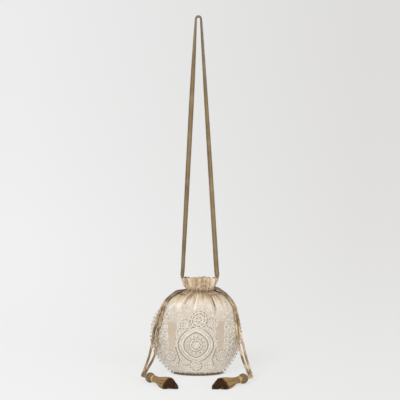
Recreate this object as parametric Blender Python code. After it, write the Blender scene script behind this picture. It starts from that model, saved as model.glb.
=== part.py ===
# Potli bag: a round two-panel drawstring pouch standing on its flattened base.
# Its neck is gathered on two drawcords that end in tassels lying on the floor,
# and a long strap rises from inside the frill.
# Frame: metres, +Z up, front towards -Y, origin at the middle of the base on the floor.
import math

import bmesh
import bpy
from mathutils import Matrix, Vector

# Body outline, seen from the front
BODY_HALF_WIDTH = 0.096
WIDEST_HEIGHT = 0.085
SHOULDER_RISE = 0.107
BELLY_DROP = 0.095

# Body outline, seen from the side
BODY_HALF_DEPTH = 0.042
FRONT_BELLY_DROP = 0.0935
BACK_BELLY_DROP = 0.097

# Gathered neck and the frill above it, which is flattened almost shut
NECK_HEIGHT = 0.187
NECK_HALF_WIDTH = 0.031
NECK_HALF_DEPTH = 0.0205
FRILL_RISE = 0.0180
FRILL_WIDEST_HEIGHT = NECK_HEIGHT + FRILL_RISE
FRILL_LIP = 0.0090
FRILL_TOP = FRILL_WIDEST_HEIGHT + FRILL_LIP
FRILL_HALF_WIDTH = 0.041
FRILL_HALF_DEPTH = 0.0125
MOUTH_LATENESS = 2.0
NECK_BLEND = 0.005
FRILL_WAVE = 0.0016

# The neck leans to the right of the body, and the foot a little too
LEAN = 0.008
LEAN_START = 0.110
FOOT_LEAN = 0.005
FOOT_LEAN_HEIGHT = 0.040

# The side seam: its sharpness, and how far it comes forward at the floor
SEAM_POWER = 1.7
FRILL_POWER = 0.6
ROUND_GAP = 0.004
ROUND_SPAN = 0.033
ROUND_END = NECK_HEIGHT - ROUND_GAP
ROUND_START = ROUND_END - ROUND_SPAN
SEAM_FORWARD = 0.012
SEAM_FORWARD_HEIGHT = 0.035
SEAM_GAP = 0.0003

# Fabric
PANEL_WALL = 0.0013
LINING_WALL = 0.0009
CLEARANCE = 0.0003
SEAM_INSET_FACTOR = 1.56
LINING_STEPS = 24
PLEATS_PER_PANEL = 8
STEPS_PER_PLEAT = 4
PLEAT_START = 0.122
NECK_PLEAT = 0.0016
FRILL_PLEAT = 0.0034
SEAM_CALM = 0.6

# Drawcords
CORD_RADIUS = 0.0026
CORD_SPACING = 0.0082
ENTRY_RUN = 0.014
CHANNEL_SLACK = 0.0015
CORD_LIFT = 0.0004
LEFT_CORD_HEIGHT = NECK_HEIGHT - CORD_RADIUS - CLEARANCE
RIGHT_CORD_HEIGHT = NECK_HEIGHT + CORD_RADIUS + CLEARANCE

# Slots in the side seams, where the drawcords come out
SLOT_HALF_WIDTH = 0.0074
SLOT_SLACK = 0.0008
SLOT_CORNER = 0.0015
SLOT_LOW = LEFT_CORD_HEIGHT - CORD_RADIUS - SLOT_SLACK
SLOT_HIGH = RIGHT_CORD_HEIGHT + CORD_RADIUS + SLOT_SLACK
LINING_RISE = 0.0036
LINING_TOP = SLOT_HIGH + LINING_RISE

# Strap
STRAP_RADIUS = 0.0030
STRAP_SPACING = 0.0180
STRAP_FOOT_GAP = 0.0022
STRAP_FOOT_HEIGHT = LINING_TOP + STRAP_FOOT_GAP
STRAP_SIDE_SLACK = 0.0005
STRAP_APEX_X = 0.0054
STRAP_APEX_HEIGHT = 0.782
STRAP_BEND_RADIUS = 0.0055

# Raised embroidery, the same on both panels
STITCH_HEIGHT = 0.0009
MEDALLION_HEIGHT = 0.0733
MEDALLION_RADIUS = 0.0205
MEDALLION_SCALLOPS = 12
SCALLOP_DEPTH = 0.06
HOLLOW_SHARE = 0.60
HOLLOW_RISE = 0.6
BOSS_SHARE = 0.42
BOSS_RISE = 1.6
FRAME_HALF_WIDTH = 0.0345
FRAME_HALF_HEIGHT = 0.0370
FRAME_POINT = 1.45
FRAME_BAND = 0.0038
FRAME_TIP_BAND = 0.0061
ROUNDEL_X = 0.0060
ROUNDEL_HEIGHT = 0.1285
ROUNDEL_RADIUS = 0.0170
ROUNDEL_BAND = 0.0036
BUD_RADIUS = 0.0070
BASE_FLOWER_HEIGHT = 0.0250
BASE_FLOWER_RADIUS = 0.0090

# Beads on the seam
BEAD_RADIUS = 0.0020
BEAD_HALF_LENGTH = 0.0017
BEAD_PITCH = 0.0086
BEAD_SHOULDER = 0.55
THREAD_RADIUS = 0.0005
BEADS_TOP_LEFT = 0.142
BEADS_TOP_RIGHT = 0.124
BEAD_SIDES = 6

# Tassels
BALL_RADIUS = 0.0110
BALL_FACE_RADIUS = 0.0058
BAND_RADIUS = 0.0078
BAND_LENGTH = 0.0050
SKIRT_LENGTH = 0.0560
SKIRT_HEAD_RADIUS = 0.0072
SKIRT_END_HALF_WIDTH = 0.0165
SKIRT_END_HALF_HEIGHT = 0.0105
SKIRT_RIDGES = 14
SKIRT_RIDGE_DEPTH = 0.0007
LEFT_BALL = (-0.0983, -0.0758)
LEFT_TASSEL_AIM = (0.0450, -0.0525)
RIGHT_BALL = (0.1013, -0.0840)
RIGHT_TASSEL_AIM = (-0.0495, -0.0455)


def smooth_step(t):
    t = min(1.0, max(0.0, t))
    return t * t * (3.0 - 2.0 * t)


def smooth_max(p, q, blend):
    return 0.5 * (p + q + math.sqrt((p - q) ** 2 + blend ** 2))


def oval(z, half_size, drop):
    reach = SHOULDER_RISE if z > WIDEST_HEIGHT else drop
    return half_size * math.sqrt(max(0.0, 1.0 - ((z - WIDEST_HEIGHT) / reach) ** 2))


def throat(z, neck, frill, lateness=1.0):
    flare = smooth_step((z - NECK_HEIGHT) / FRILL_RISE) ** lateness
    return neck + (frill - neck) * flare


def half_width(z):
    body = oval(z, BODY_HALF_WIDTH, BELLY_DROP)
    return smooth_max(body, throat(z, NECK_HALF_WIDTH, FRILL_HALF_WIDTH), NECK_BLEND)


def half_depth(z, drop):
    body = oval(z, BODY_HALF_DEPTH, drop)
    return smooth_max(body, throat(z, NECK_HALF_DEPTH, FRILL_HALF_DEPTH, MOUTH_LATENESS), NECK_BLEND)


def seam_y(z):
    return -SEAM_FORWARD * max(0.0, 1.0 - z / SEAM_FORWARD_HEIGHT) ** 2


def front_depth(z):
    return half_depth(z, FRONT_BELLY_DROP) + seam_y(z)


def back_depth(z):
    return half_depth(z, BACK_BELLY_DROP) - seam_y(z)


def lean(z):
    neck = LEAN * smooth_step((z - LEAN_START) / (NECK_HEIGHT - LEAN_START))
    return neck + FOOT_LEAN * max(0.0, 1.0 - z / FOOT_LEAN_HEIGHT) ** 2


def section_power(z):
    rounded = SEAM_POWER - (SEAM_POWER - 1.0) * smooth_step((z - ROUND_START) / ROUND_SPAN)
    return rounded - (1.0 - FRILL_POWER) * smooth_step((z - NECK_HEIGHT) / FRILL_RISE)


def slope_factor(size, z):
    step = 0.0005
    slope = (size(z + step) - size(max(0.0, z - step))) / (step + min(step, z))
    return math.sqrt(1.0 + slope * slope)


def gathering(z):
    return NECK_PLEAT * smooth_step((z - PLEAT_START) / (NECK_HEIGHT - PLEAT_START))


def pleat_height(angle, z):
    # folds grow from the shoulder to the neck and open again in the frill
    ruffle = smooth_step((z - NECK_HEIGHT) / FRILL_RISE)
    size = gathering(z) + (FRILL_PLEAT - NECK_PLEAT) * ruffle
    turn = angle / math.pi * PLEATS_PER_PANEL
    uneven = 0.80 + 0.20 * math.sin(2.3 * turn + 0.7)
    calm = 1.0 - ruffle * (1.0 - smooth_step(abs(math.sin(angle)) / SEAM_CALM))
    return size * uneven * calm * math.cos(2.0 * math.pi * turn)


def section_point(angle, z, inset, pleated=True):
    # angle 0 is the right seam, 90 degrees the back, 180 the left seam and 270 the front
    front = math.sin(angle) < 0.0
    depth_of = front_depth if front else back_depth
    wide = half_width(z) - inset * SEAM_INSET_FACTOR ** (section_power(z) - 1.0) * slope_factor(half_width, z)
    deep = depth_of(z) - inset * slope_factor(depth_of, z)
    power = section_power(z)
    side = -1.0 if front else 1.0
    across = math.cos(angle)
    along = side * abs(math.sin(angle)) ** power
    fold = pleat_height(angle, z) if pleated else 0.0
    x = lean(z) + wide * across + fold * across
    y = seam_y(z) + deep * along + fold * along
    return Vector((x, y, z))


def outward(angle, z):
    # the surface's normal, taken from its neighbours along and across the section
    step = 0.01
    around = section_point(angle + step, z, 0.0, False) - section_point(angle - step, z, 0.0, False)
    upward = section_point(angle, z + 0.0005, 0.0, False) - section_point(angle, z - 0.0005, 0.0, False)
    return around.cross(upward).normalized()


def material(name, colour, roughness, metallic=0.0):
    made = bpy.data.materials.new(name)
    made.use_nodes = True
    shader = made.node_tree.nodes["Principled BSDF"]
    shader.inputs["Base Color"].default_value = (*colour, 1.0)
    shader.inputs["Roughness"].default_value = roughness
    shader.inputs["Metallic"].default_value = metallic
    return made


def add_object(name, data, look):
    made = bpy.data.objects.new(name, data)
    bpy.context.collection.objects.link(made)
    data.materials.append(look)
    return made


def mesh_object(name, points, faces, look):
    mesh = bpy.data.meshes.new(name)
    mesh.from_pydata([tuple(p) for p in points], [], faces)
    shape = bmesh.new()
    shape.from_mesh(mesh)
    bmesh.ops.recalc_face_normals(shape, faces=shape.faces[:])
    shape.to_mesh(mesh)
    shape.free()
    mesh.shade_smooth()
    mesh.set_sharp_from_angle(angle=math.radians(40))
    return add_object(name, mesh, look)


def sheet_solid(name, outer, inner, look):
    # two grids of like rows and columns become one wall, joined along their four edges
    rows = len(outer)
    columns = len(outer[0])
    points = [p for row in outer for p in row] + [p for row in inner for p in row]
    shift = rows * columns
    faces = []
    for r in range(rows - 1):
        for c in range(columns - 1):
            a = r * columns + c
            quad = (a, a + 1, a + columns + 1, a + columns)
            faces.append(quad)
            faces.append(tuple(shift + i for i in reversed(quad)))
    edge = [c for c in range(columns)]
    edge += [r * columns + columns - 1 for r in range(1, rows)]
    edge += [(rows - 1) * columns + c for c in range(columns - 2, -1, -1)]
    edge += [r * columns for r in range(rows - 2, 0, -1)]
    for here, there in zip(edge, edge[1:] + edge[:1]):
        faces.append((here, there, there + shift, here + shift))
    return mesh_object(name, points, faces, look)


def between(low, high, shares):
    return [low + (high - low) * share for share in shares]


def panel_heights():
    belly = between(0.0, WIDEST_HEIGHT, (0.035, 0.094, 0.19, 0.33, 0.53, 0.765, 1.0))
    upper_belly = between(WIDEST_HEIGHT, PLEAT_START, (0.54, 1.0))
    shoulder = between(PLEAT_START, SLOT_LOW - SLOT_CORNER, (0.26, 0.49, 0.70, 0.88, 1.0))
    frill = between(SLOT_HIGH + SLOT_CORNER, FRILL_WIDEST_HEIGHT, (0.0, 0.60, 1.0))
    return belly + upper_belly + shoulder + [SLOT_LOW, SLOT_HIGH] + frill + [FRILL_TOP]


def panel_angle(t, z, start, y_gap):
    # the panel's ends stop short of the seam by the seam's gap, or by the slot's half width
    in_slot = SLOT_LOW <= z <= SLOT_HIGH
    short = SLOT_HALF_WIDTH if in_slot else y_gap
    depth = front_depth(z) if start >= math.pi else back_depth(z)
    trim = math.asin((short / depth) ** (1.0 / section_power(z)))
    return start + trim + (math.pi - 2.0 * trim) * t


def panel_row(z, start, inset):
    steps = PLEATS_PER_PANEL * STEPS_PER_PLEAT
    row = []
    for i in range(steps + 1):
        t = i / steps
        angle = panel_angle(t, z, start, SEAM_GAP / 2)
        spot = section_point(angle, z, inset)
        if z == FRILL_TOP:
            spot.z += FRILL_WAVE * math.sin(2.0 * math.pi * t * 3.0 + start)
        row.append(spot)
    for spot in (row[0], row[-1]):
        if not SLOT_LOW <= z <= SLOT_HIGH:
            spot.y = seam_y(z) + math.copysign(SEAM_GAP / 2, math.pi - 0.001 - start)
    return row


def front_panel(look):
    heights = list(reversed(panel_heights()))
    outer = [panel_row(z, math.pi, 0.0) for z in heights]
    inner = [panel_row(z, math.pi, PANEL_WALL) for z in heights]
    foot = CLEARANCE
    outer.append(panel_row(foot, math.pi, 0.0))
    inner.append(panel_row(foot, math.pi, PANEL_WALL))
    return sheet_solid("front_panel", outer, inner, look)


def back_panel(look):
    heights = list(reversed(panel_heights()))
    outer = [panel_row(z, 0.0, 0.0) for z in heights + [0.0]]
    inner = [panel_row(z, 0.0, PANEL_WALL) for z in heights[:-1]]
    corner = panel_row(PANEL_WALL, 0.0, PANEL_WALL)
    inner.append([a.lerp(b, 0.35) for a, b in zip(inner[-1], corner)])
    inner.append(corner)
    # the base reaches forward to the inner side of the front panel's foot
    front_edge = []
    for i, spot in enumerate(corner):
        angle = 2.0 * math.pi - math.pi * i / (len(corner) - 1)
        front_edge.append(section_point(angle, CLEARANCE, PANEL_WALL + CLEARANCE))
    front_edge[0].y = corner[0].y
    front_edge[-1].y = corner[-1].y
    outer.append([Vector((p.x, p.y, 0.0)) for p in front_edge])
    inner.append([Vector((p.x, p.y, PANEL_WALL)) for p in front_edge])
    return sheet_solid("back_panel", outer, inner, look)


def lining_inset(z):
    # the lining hugs the panels in the body and leaves room for the cord channel at the neck
    channel = smooth_step((z - ROUND_START) / (SLOT_LOW - ROUND_START))
    room = 2.0 * CORD_RADIUS + CLEARANCE + CHANNEL_SLACK
    return PANEL_WALL + CLEARANCE + gathering(z) + room * channel


def lining_ring(z, extra):
    steps = LINING_STEPS
    return [section_point(2.0 * math.pi * i / steps, z, lining_inset(z) + extra, False) for i in range(steps)]


def lining(look):
    low = PANEL_WALL + CLEARANCE
    heights = between(LINING_TOP, PLEAT_START, (0.0, 0.10, 0.20, 0.33, 0.47, 0.63, 0.80, 1.0))
    heights += between(WIDEST_HEIGHT, 0.0, (0.0, 0.47, 0.81, 0.93))
    outer = [lining_ring(z, 0.0) for z in heights + [low]]
    inner = [lining_ring(z, LINING_WALL) for z in heights + [low + LINING_WALL]]
    rows = len(outer)
    steps = LINING_STEPS
    points = [p for row in outer for p in row] + [p for row in inner for p in row]
    shift = rows * steps
    faces = []
    for r in range(rows - 1):
        for c in range(steps):
            d = (c + 1) % steps
            quad = (r * steps + c, r * steps + d, (r + 1) * steps + d, (r + 1) * steps + c)
            faces.append(quad)
            faces.append(tuple(shift + i for i in reversed(quad)))
    for c in range(steps):
        d = (c + 1) % steps
        faces.append((c, d, d + shift, c + shift))
    last = (rows - 1) * steps
    faces.append(tuple(range(last, last + steps)))
    faces.append(tuple(range(last + shift, last + shift + steps)))
    return mesh_object("lining", points, faces, look)


def smooth_route(points, spacing):
    # a centripetal spline through the chosen points, read off at equal lengths
    ends = [2.0 * points[0] - points[1]] + points + [2.0 * points[-1] - points[-2]]
    dense = [points[0]]
    for p0, p1, p2, p3 in zip(ends, ends[1:], ends[2:], ends[3:]):
        t1 = (p1 - p0).length ** 0.5
        t2 = t1 + (p2 - p1).length ** 0.5
        t3 = t2 + (p3 - p2).length ** 0.5
        for k in range(1, 17):
            t = t1 + (t2 - t1) * k / 16
            a1 = p0 * ((t1 - t) / t1) + p1 * (t / t1)
            a2 = p1 * ((t2 - t) / (t2 - t1)) + p2 * ((t - t1) / (t2 - t1))
            a3 = p2 * ((t3 - t) / (t3 - t2)) + p3 * ((t - t2) / (t3 - t2))
            b1 = a1 * ((t2 - t) / t2) + a2 * (t / t2)
            b2 = a2 * ((t3 - t) / (t3 - t1)) + a3 * ((t - t1) / (t3 - t1))
            dense.append(b1 * ((t2 - t) / (t2 - t1)) + b2 * ((t - t1) / (t2 - t1)))
    lengths = [0.0]
    for here, there in zip(dense, dense[1:]):
        lengths.append(lengths[-1] + (there - here).length)
    count = max(2, round(lengths[-1] / spacing))
    route = []
    k = 0
    for i in range(count + 1):
        goal = lengths[-1] * i / count
        while k < len(dense) - 2 and lengths[k + 1] < goal:
            k += 1
        share = (goal - lengths[k]) / (lengths[k + 1] - lengths[k])
        route.append(dense[k].lerp(dense[k + 1], min(1.0, share)))
    return route


def tube(name, route, radius, look):
    curve = bpy.data.curves.new(name, "CURVE")
    curve.dimensions = "3D"
    curve.bevel_depth = radius
    curve.bevel_resolution = 2
    curve.use_fill_caps = True
    line = curve.splines.new("POLY")
    line.points.add(len(route) - 1)
    for point, spot in zip(line.points, route):
        point.co = (*spot, 1.0)
    return add_object(name, curve, look)


def beside_bag(side, degrees, z):
    # a cord centre lying on the panels, so many degrees forward of the side seam
    angle = math.radians(degrees)
    angle = math.pi + angle if side < 0 else 2.0 * math.pi - angle
    return section_point(angle, z, 0.0, False) + outward(angle, z) * (CORD_RADIUS + CORD_LIFT + gathering(z))


def channel_ring(side, height):
    # from the back strand's side round to the front strand's side of the same slot
    inset = PANEL_WALL + NECK_PLEAT + CLEARANCE + CORD_RADIUS
    start = 180.0 if side < 0 else 0.0
    turn = 1.0 if side > 0 else -1.0
    stops = [start + turn * d for d in (42, 70, 98, 126, 154, 180, 206, 234, 262, 290, 318)]
    return [section_point(math.radians(d), height, inset, False) for d in stops]


def slot_points(side, height, front):
    # out through the slot, the front and the back strand side by side
    y = math.copysign(CORD_RADIUS + CLEARANCE, front)
    edge = lean(height) + side * half_width(height)
    return [Vector((edge - side * 0.0010, 1.25 * y, height)), Vector((edge + side * 0.0055, y, height - 0.0006))]


def tassel_axis(ball, aim):
    centre = Vector((ball[0], ball[1], BALL_RADIUS))
    axis = Vector((aim[0], aim[1], 0.0)).normalized()
    return centre, axis, Vector((-axis.y, axis.x, 0.0))


def ball_face():
    return math.sqrt(BALL_RADIUS ** 2 - BALL_FACE_RADIUS ** 2)


def cord_entry(ball, aim, side):
    centre, axis, across = tassel_axis(ball, aim)
    end = centre - axis * (ball_face() + CLEARANCE) + across * side * (CORD_RADIUS + CLEARANCE)
    return [end - axis * ENTRY_RUN, end - axis * ENTRY_RUN / 2, end]


def drawcord(name, side, height, ball, aim, back_strand, front_strand, look):
    entries = {}
    for strand, shift in (("back", side), ("front", -side)):
        entries[strand] = cord_entry(ball, aim, shift)
    back = back_strand + list(reversed(slot_points(side, height, 1.0)))
    front = slot_points(side, height, -1.0) + list(reversed(front_strand))
    route = list(reversed(entries["back"])) + back + channel_ring(side, height) + front + entries["front"]
    return tube(name, smooth_route(route, CORD_SPACING), CORD_RADIUS, look)


def along_bag(side, stations):
    # the stations are degrees forward of the seam and shares of the neck's height
    heights = [(degrees, share * NECK_HEIGHT) for degrees, share in stations]
    spots = []
    for (d0, z0), (d1, z1) in zip(heights, heights[1:]):
        for share in (0.0, 0.5):
            spots.append(beside_bag(side, d0 + (d1 - d0) * share, z0 + (z1 - z0) * share))
    return spots + [beside_bag(side, *heights[-1])]


def left_drawcord(look):
    # each strand runs up from the floor, first free and then along the bag's shoulder
    back = [Vector(p) for p in ((-0.1130, -0.0500, 0.0170), (-0.1070, -0.0410, 0.0310), (-0.1005, -0.0310, 0.0490),
                                (-0.0960, -0.0195, 0.0680))]
    back += along_bag(-1, ((20, 0.48), (26, 0.63), (19, 0.745), (7, 0.83), (-4, 0.905), (-9, 0.952)))
    front = [Vector(p) for p in ((-0.1080, -0.0470, 0.0155), (-0.1010, -0.0410, 0.0270), (-0.0920, -0.0365, 0.0430),
                                 (-0.0865, -0.0280, 0.0630))]
    front += along_bag(-1, ((31, 0.48), (35, 0.63), (29, 0.745), (20, 0.83), (13, 0.905), (10, 0.952)))
    return drawcord("drawcord_left", -1, LEFT_CORD_HEIGHT, LEFT_BALL, LEFT_TASSEL_AIM, back, front, look)


def right_drawcord(look):
    back = [Vector(p) for p in ((0.1180, -0.0590, 0.0170), (0.1130, -0.0480, 0.0320), (0.1070, -0.0340, 0.0500),
                                (0.1020, -0.0190, 0.0690))]
    back += along_bag(1, ((14, 0.49), (13, 0.615), (8, 0.715), (0, 0.80), (-6, 0.882), (-9, 0.947)))
    front = [Vector(p) for p in ((0.1125, -0.0560, 0.0155), (0.1070, -0.0480, 0.0270), (0.1000, -0.0370, 0.0440),
                                 (0.0945, -0.0270, 0.0640))]
    front += along_bag(1, ((25, 0.48), (24, 0.615), (20, 0.715), (14, 0.80), (11, 0.882), (10, 0.947)))
    return drawcord("drawcord_right", 1, RIGHT_CORD_HEIGHT, RIGHT_BALL, RIGHT_TASSEL_AIM, back, front, look)


def strap_x(z):
    # the strap's centre, just inside the frill's wall at the side seam
    return half_width(z) - PANEL_WALL - CLEARANCE - STRAP_RADIUS - STRAP_SIDE_SLACK


def strap(look):
    sides = []
    for side in (-1, 1):
        middle = lean(FRILL_TOP)
        foot = Vector((middle + side * strap_x(STRAP_FOOT_HEIGHT), 0.0, STRAP_FOOT_HEIGHT))
        brim = Vector((middle + side * strap_x(FRILL_TOP), 0.0, FRILL_TOP))
        top = Vector((STRAP_APEX_X + side * STRAP_BEND_RADIUS, 0.0, STRAP_APEX_HEIGHT - STRAP_BEND_RADIUS))
        climb = [brim.lerp(top, share) for share in (0.03, 0.25, 0.50, 0.75, 0.985)]
        sides.append([foot, brim] + climb + [top])
    crown = []
    for degrees in (150, 120, 90, 60, 30):
        turn = math.radians(degrees)
        rise = STRAP_APEX_HEIGHT - STRAP_BEND_RADIUS + STRAP_BEND_RADIUS * math.sin(turn)
        crown.append(Vector((STRAP_APEX_X + STRAP_BEND_RADIUS * math.cos(turn), 0.0, rise)))
    legs = smooth_route(sides[0], STRAP_SPACING)
    return tube("strap", legs + crown + list(reversed(smooth_route(sides[1], STRAP_SPACING))), STRAP_RADIUS, look)


def cloth_point(side, x, z, proud):
    # a spot so far proud of the front panel, side -1, or of the back panel, side 1
    angle = math.acos((x - lean(z)) / half_width(z))
    return section_point(angle if side > 0 else 2.0 * math.pi - angle, z, -proud)


def outline(centre, count, reach):
    # a closed line of cloth positions, at the distance that reach gives for each turn about the centre
    spots = []
    for k in range(count):
        turn = 2.0 * math.pi * k / count
        across, up = reach(turn)
        spots.append((centre[0] + across, centre[1] + up))
    return spots


def round_reach(radius, scallops=0):
    def reach(turn):
        size = radius * (1.0 + SCALLOP_DEPTH * math.cos(scallops * turn) if scallops else 1.0)
        return size * math.sin(turn), size * math.cos(turn)
    return reach


def pointed_reach(half_across, half_up):
    def reach(turn):
        swell = abs(math.sin(turn)) ** FRAME_POINT
        return half_across * math.copysign(swell, math.sin(turn)), half_up * math.cos(turn)
    return reach


def stitched_band(name, side, inner, outer, look):
    # a flat raised band between two outlines
    top = CLEARANCE + STITCH_HEIGHT
    loops = [[cloth_point(side, x, z, proud) for x, z in line]
             for line, proud in ((inner, CLEARANCE), (outer, CLEARANCE), (outer, top), (inner, top))]
    count = len(inner)
    points = [p for loop in loops for p in loop]
    faces = []
    for ring in range(4):
        after = (ring + 1) % 4
        for k in range(count):
            m = (k + 1) % count
            faces.append((ring * count + k, ring * count + m, after * count + m, after * count + k))
    return mesh_object(name, points, faces, look)


def stitched_pad(name, side, centre, under, over, look):
    # a raised pad: outlines from the middle out on its underside, and back in over the top with their heights
    lines = [(line, CLEARANCE) for line in under]
    lines += [(line, CLEARANCE + STITCH_HEIGHT * share) for line, share in over]
    count = len(under[0])
    points = [cloth_point(side, x, z, proud) for line, proud in lines for x, z in line]
    faces = []
    for ring in range(len(lines) - 1):
        for k in range(count):
            m = (k + 1) % count
            faces.append((ring * count + k, ring * count + m, (ring + 1) * count + m, (ring + 1) * count + k))
    low = len(points)
    points.append(cloth_point(side, *centre, CLEARANCE))
    points.append(cloth_point(side, *centre, lines[-1][1]))
    last = (len(lines) - 1) * count
    for k in range(count):
        m = (k + 1) % count
        faces.append((low, m, k))
        faces.append((low + 1, last + k, last + m))
    return mesh_object(name, points, faces, look)


def embroidery(word, side, look):
    medallion = (0.0, MEDALLION_HEIGHT)
    petals = outline(medallion, 2 * MEDALLION_SCALLOPS, round_reach(MEDALLION_RADIUS, MEDALLION_SCALLOPS))
    halfway = outline(medallion, 2 * MEDALLION_SCALLOPS, round_reach(MEDALLION_RADIUS * HOLLOW_SHARE))
    boss = outline(medallion, 2 * MEDALLION_SCALLOPS, round_reach(MEDALLION_RADIUS * BOSS_SHARE))
    over = [(petals, 1.0), (halfway, HOLLOW_RISE), (boss, BOSS_RISE)]
    stitched_pad(f"medallion_{word}", side, medallion, [halfway, petals], over, look)
    inner = pointed_reach(FRAME_HALF_WIDTH - FRAME_BAND, FRAME_HALF_HEIGHT - FRAME_TIP_BAND)
    outer = pointed_reach(FRAME_HALF_WIDTH, FRAME_HALF_HEIGHT)
    stitched_band(f"pointed_frame_{word}", side, outline(medallion, 32, inner), outline(medallion, 32, outer), look)
    roundel = (ROUNDEL_X, ROUNDEL_HEIGHT)
    inner = outline(roundel, 20, round_reach(ROUNDEL_RADIUS - ROUNDEL_BAND))
    outer = outline(roundel, 20, round_reach(ROUNDEL_RADIUS))
    stitched_band(f"roundel_{word}", side, inner, outer, look)
    bud = outline(roundel, 12, round_reach(BUD_RADIUS))
    stitched_pad(f"roundel_bud_{word}", side, roundel, [bud], [(bud, 1.0)], look)
    base = (0.0, BASE_FLOWER_HEIGHT)
    flower = outline(base, 12, round_reach(BASE_FLOWER_RADIUS))
    stitched_pad(f"base_flower_{word}", side, base, [flower], [(flower, 1.0)], look)


def seam_bead_spot(side, z):
    spot = section_point(math.pi if side < 0 else 0.0, z, 0.0, False)
    slope = (half_width(z + 0.0005) - half_width(z - 0.0005)) / 0.001
    away = Vector((side, 0.0, -slope)).normalized()
    return spot + away * (BEAD_RADIUS + CLEARANCE)


def bead_path():
    # down the left seam, along the front foot of the bag and up the right seam
    height = BEAD_RADIUS + CLEARANCE
    count = 10
    left = [seam_bead_spot(-1, BEADS_TOP_LEFT + (0.0046 - BEADS_TOP_LEFT) * i / count) for i in range(count + 1)]
    right = [seam_bead_spot(1, BEADS_TOP_RIGHT + (0.0046 - BEADS_TOP_RIGHT) * i / count) for i in range(count + 1)]
    foot = []
    for degrees in range(195, 346, 15):
        angle = math.radians(degrees)
        away = outward(angle, height)
        away.z = 0.0
        reach = (BEAD_RADIUS + CLEARANCE) * slope_factor(front_depth, height)
        foot.append(section_point(angle, height, 0.0, False) + away.normalized() * reach)
    return left + foot + list(reversed(right))


def bead_edging(look):
    # the beads are one string: a thread that swells into a bead at every pitch
    stops = [(-0.5, 0.0), (-BEAD_HALF_LENGTH / BEAD_PITCH, 0.0), (0.0, 1.0), (BEAD_HALF_LENGTH / BEAD_PITCH, 0.0)]
    half = BEAD_HALF_LENGTH * BEAD_SHOULDER
    fine = smooth_route(bead_path(), BEAD_PITCH / 4)
    lengths = [0.0]
    for here, there in zip(fine, fine[1:]):
        lengths.append(lengths[-1] + (there - here).length)
    beads = int(lengths[-1] / BEAD_PITCH)

    def place(distance):
        k = min(len(fine) - 2, int(distance / lengths[-1] * (len(fine) - 1)))
        share = (distance - lengths[k]) / (lengths[k + 1] - lengths[k])
        return fine[k].lerp(fine[k + 1], share), (fine[k + 1] - fine[k]).normalized()

    rings = []
    for i in range(beads):
        middle = (i + 0.5) * BEAD_PITCH
        for offset, radius in ((-BEAD_HALF_LENGTH, THREAD_RADIUS), (-half, BEAD_RADIUS),
                               (half, BEAD_RADIUS), (BEAD_HALF_LENGTH, THREAD_RADIUS)):
            rings.append((*place(middle + offset), radius))
    points = []
    for centre, along, radius in rings:
        across = Vector((0.0, 1.0, 0.0)) - along * along.y
        across.normalize()
        third = along.cross(across)
        for k in range(BEAD_SIDES):
            turn = 2.0 * math.pi * k / BEAD_SIDES
            points.append(centre + (across * math.cos(turn) + third * math.sin(turn)) * radius)
    return mesh_object("bead_edging", points, skin_faces(len(rings), BEAD_SIDES), look)


def skin_faces(rings, sides):
    faces = [tuple(range(sides)), tuple(range((rings - 1) * sides, rings * sides))]
    for r in range(rings - 1):
        for k in range(sides):
            m = (k + 1) % sides
            faces.append((r * sides + k, r * sides + m, (r + 1) * sides + m, (r + 1) * sides + k))
    return faces


def turned(name, ball, aim, profile, sides, look):
    # a profile of distances and radii, turned about the tassel's axis
    centre, axis, across = tassel_axis(ball, aim)
    points = []
    for distance, radius in profile:
        for k in range(sides):
            turn = 2.0 * math.pi * k / sides
            arm = across * math.cos(turn) + Vector((0.0, 0.0, 1.0)) * math.sin(turn)
            points.append(centre + axis * distance + arm * radius)
    return mesh_object(name, points, skin_faces(len(profile), sides), look)


def tassel_ball(name, ball, aim, look):
    limit = math.asin(BALL_FACE_RADIUS / BALL_RADIUS)
    steps = 8
    profile = []
    for i in range(steps + 1):
        turn = limit + (math.pi - 2.0 * limit) * i / steps
        profile.append((-BALL_RADIUS * math.cos(turn), BALL_RADIUS * math.sin(turn)))
    return turned(name, ball, aim, profile, 16, look)


def tassel_band(name, ball, aim, look):
    start = ball_face() + CLEARANCE
    rim = BAND_LENGTH * 0.25
    profile = [(start, BAND_RADIUS - rim * 0.6), (start + rim, BAND_RADIUS)]
    profile += [(start + BAND_LENGTH - rim, BAND_RADIUS), (start + BAND_LENGTH, BAND_RADIUS - rim * 0.6)]
    return turned(name, ball, aim, profile, 16, look)


def tassel_skirt(name, ball, aim, look):
    # the threads hang together as a flared, ridged brush, flattened where it lies on the floor
    centre, axis, across = tassel_axis(ball, aim)
    start = ball_face() + CLEARANCE + BAND_LENGTH + CLEARANCE
    sides = 2 * SKIRT_RIDGES
    stops = [0.0, 0.16, 0.45, 0.78, 1.0]
    points = []
    for share in stops:
        swell = smooth_step(share * 0.62) / smooth_step(0.62)
        wide = SKIRT_HEAD_RADIUS + (SKIRT_END_HALF_WIDTH - SKIRT_HEAD_RADIUS) * swell
        high = SKIRT_HEAD_RADIUS + (SKIRT_END_HALF_HEIGHT - SKIRT_HEAD_RADIUS) * swell
        height = BALL_RADIUS + (SKIRT_END_HALF_HEIGHT - BALL_RADIUS) * swell
        for k in range(sides):
            turn = 2.0 * math.pi * k / sides - math.pi / 2.0
            dip = SKIRT_RIDGE_DEPTH if k % 2 else 0.0
            spot = centre + axis * (start + SKIRT_LENGTH * share) + across * (wide - dip) * math.cos(turn)
            spot.z = height + (high - dip) * math.sin(turn)
            points.append(spot)
    return mesh_object(name, points, skin_faces(len(stops), sides), look)


def colour(red, green, blue):
    return tuple((value / 255.0) ** 2.2 for value in (red, green, blue))


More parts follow.
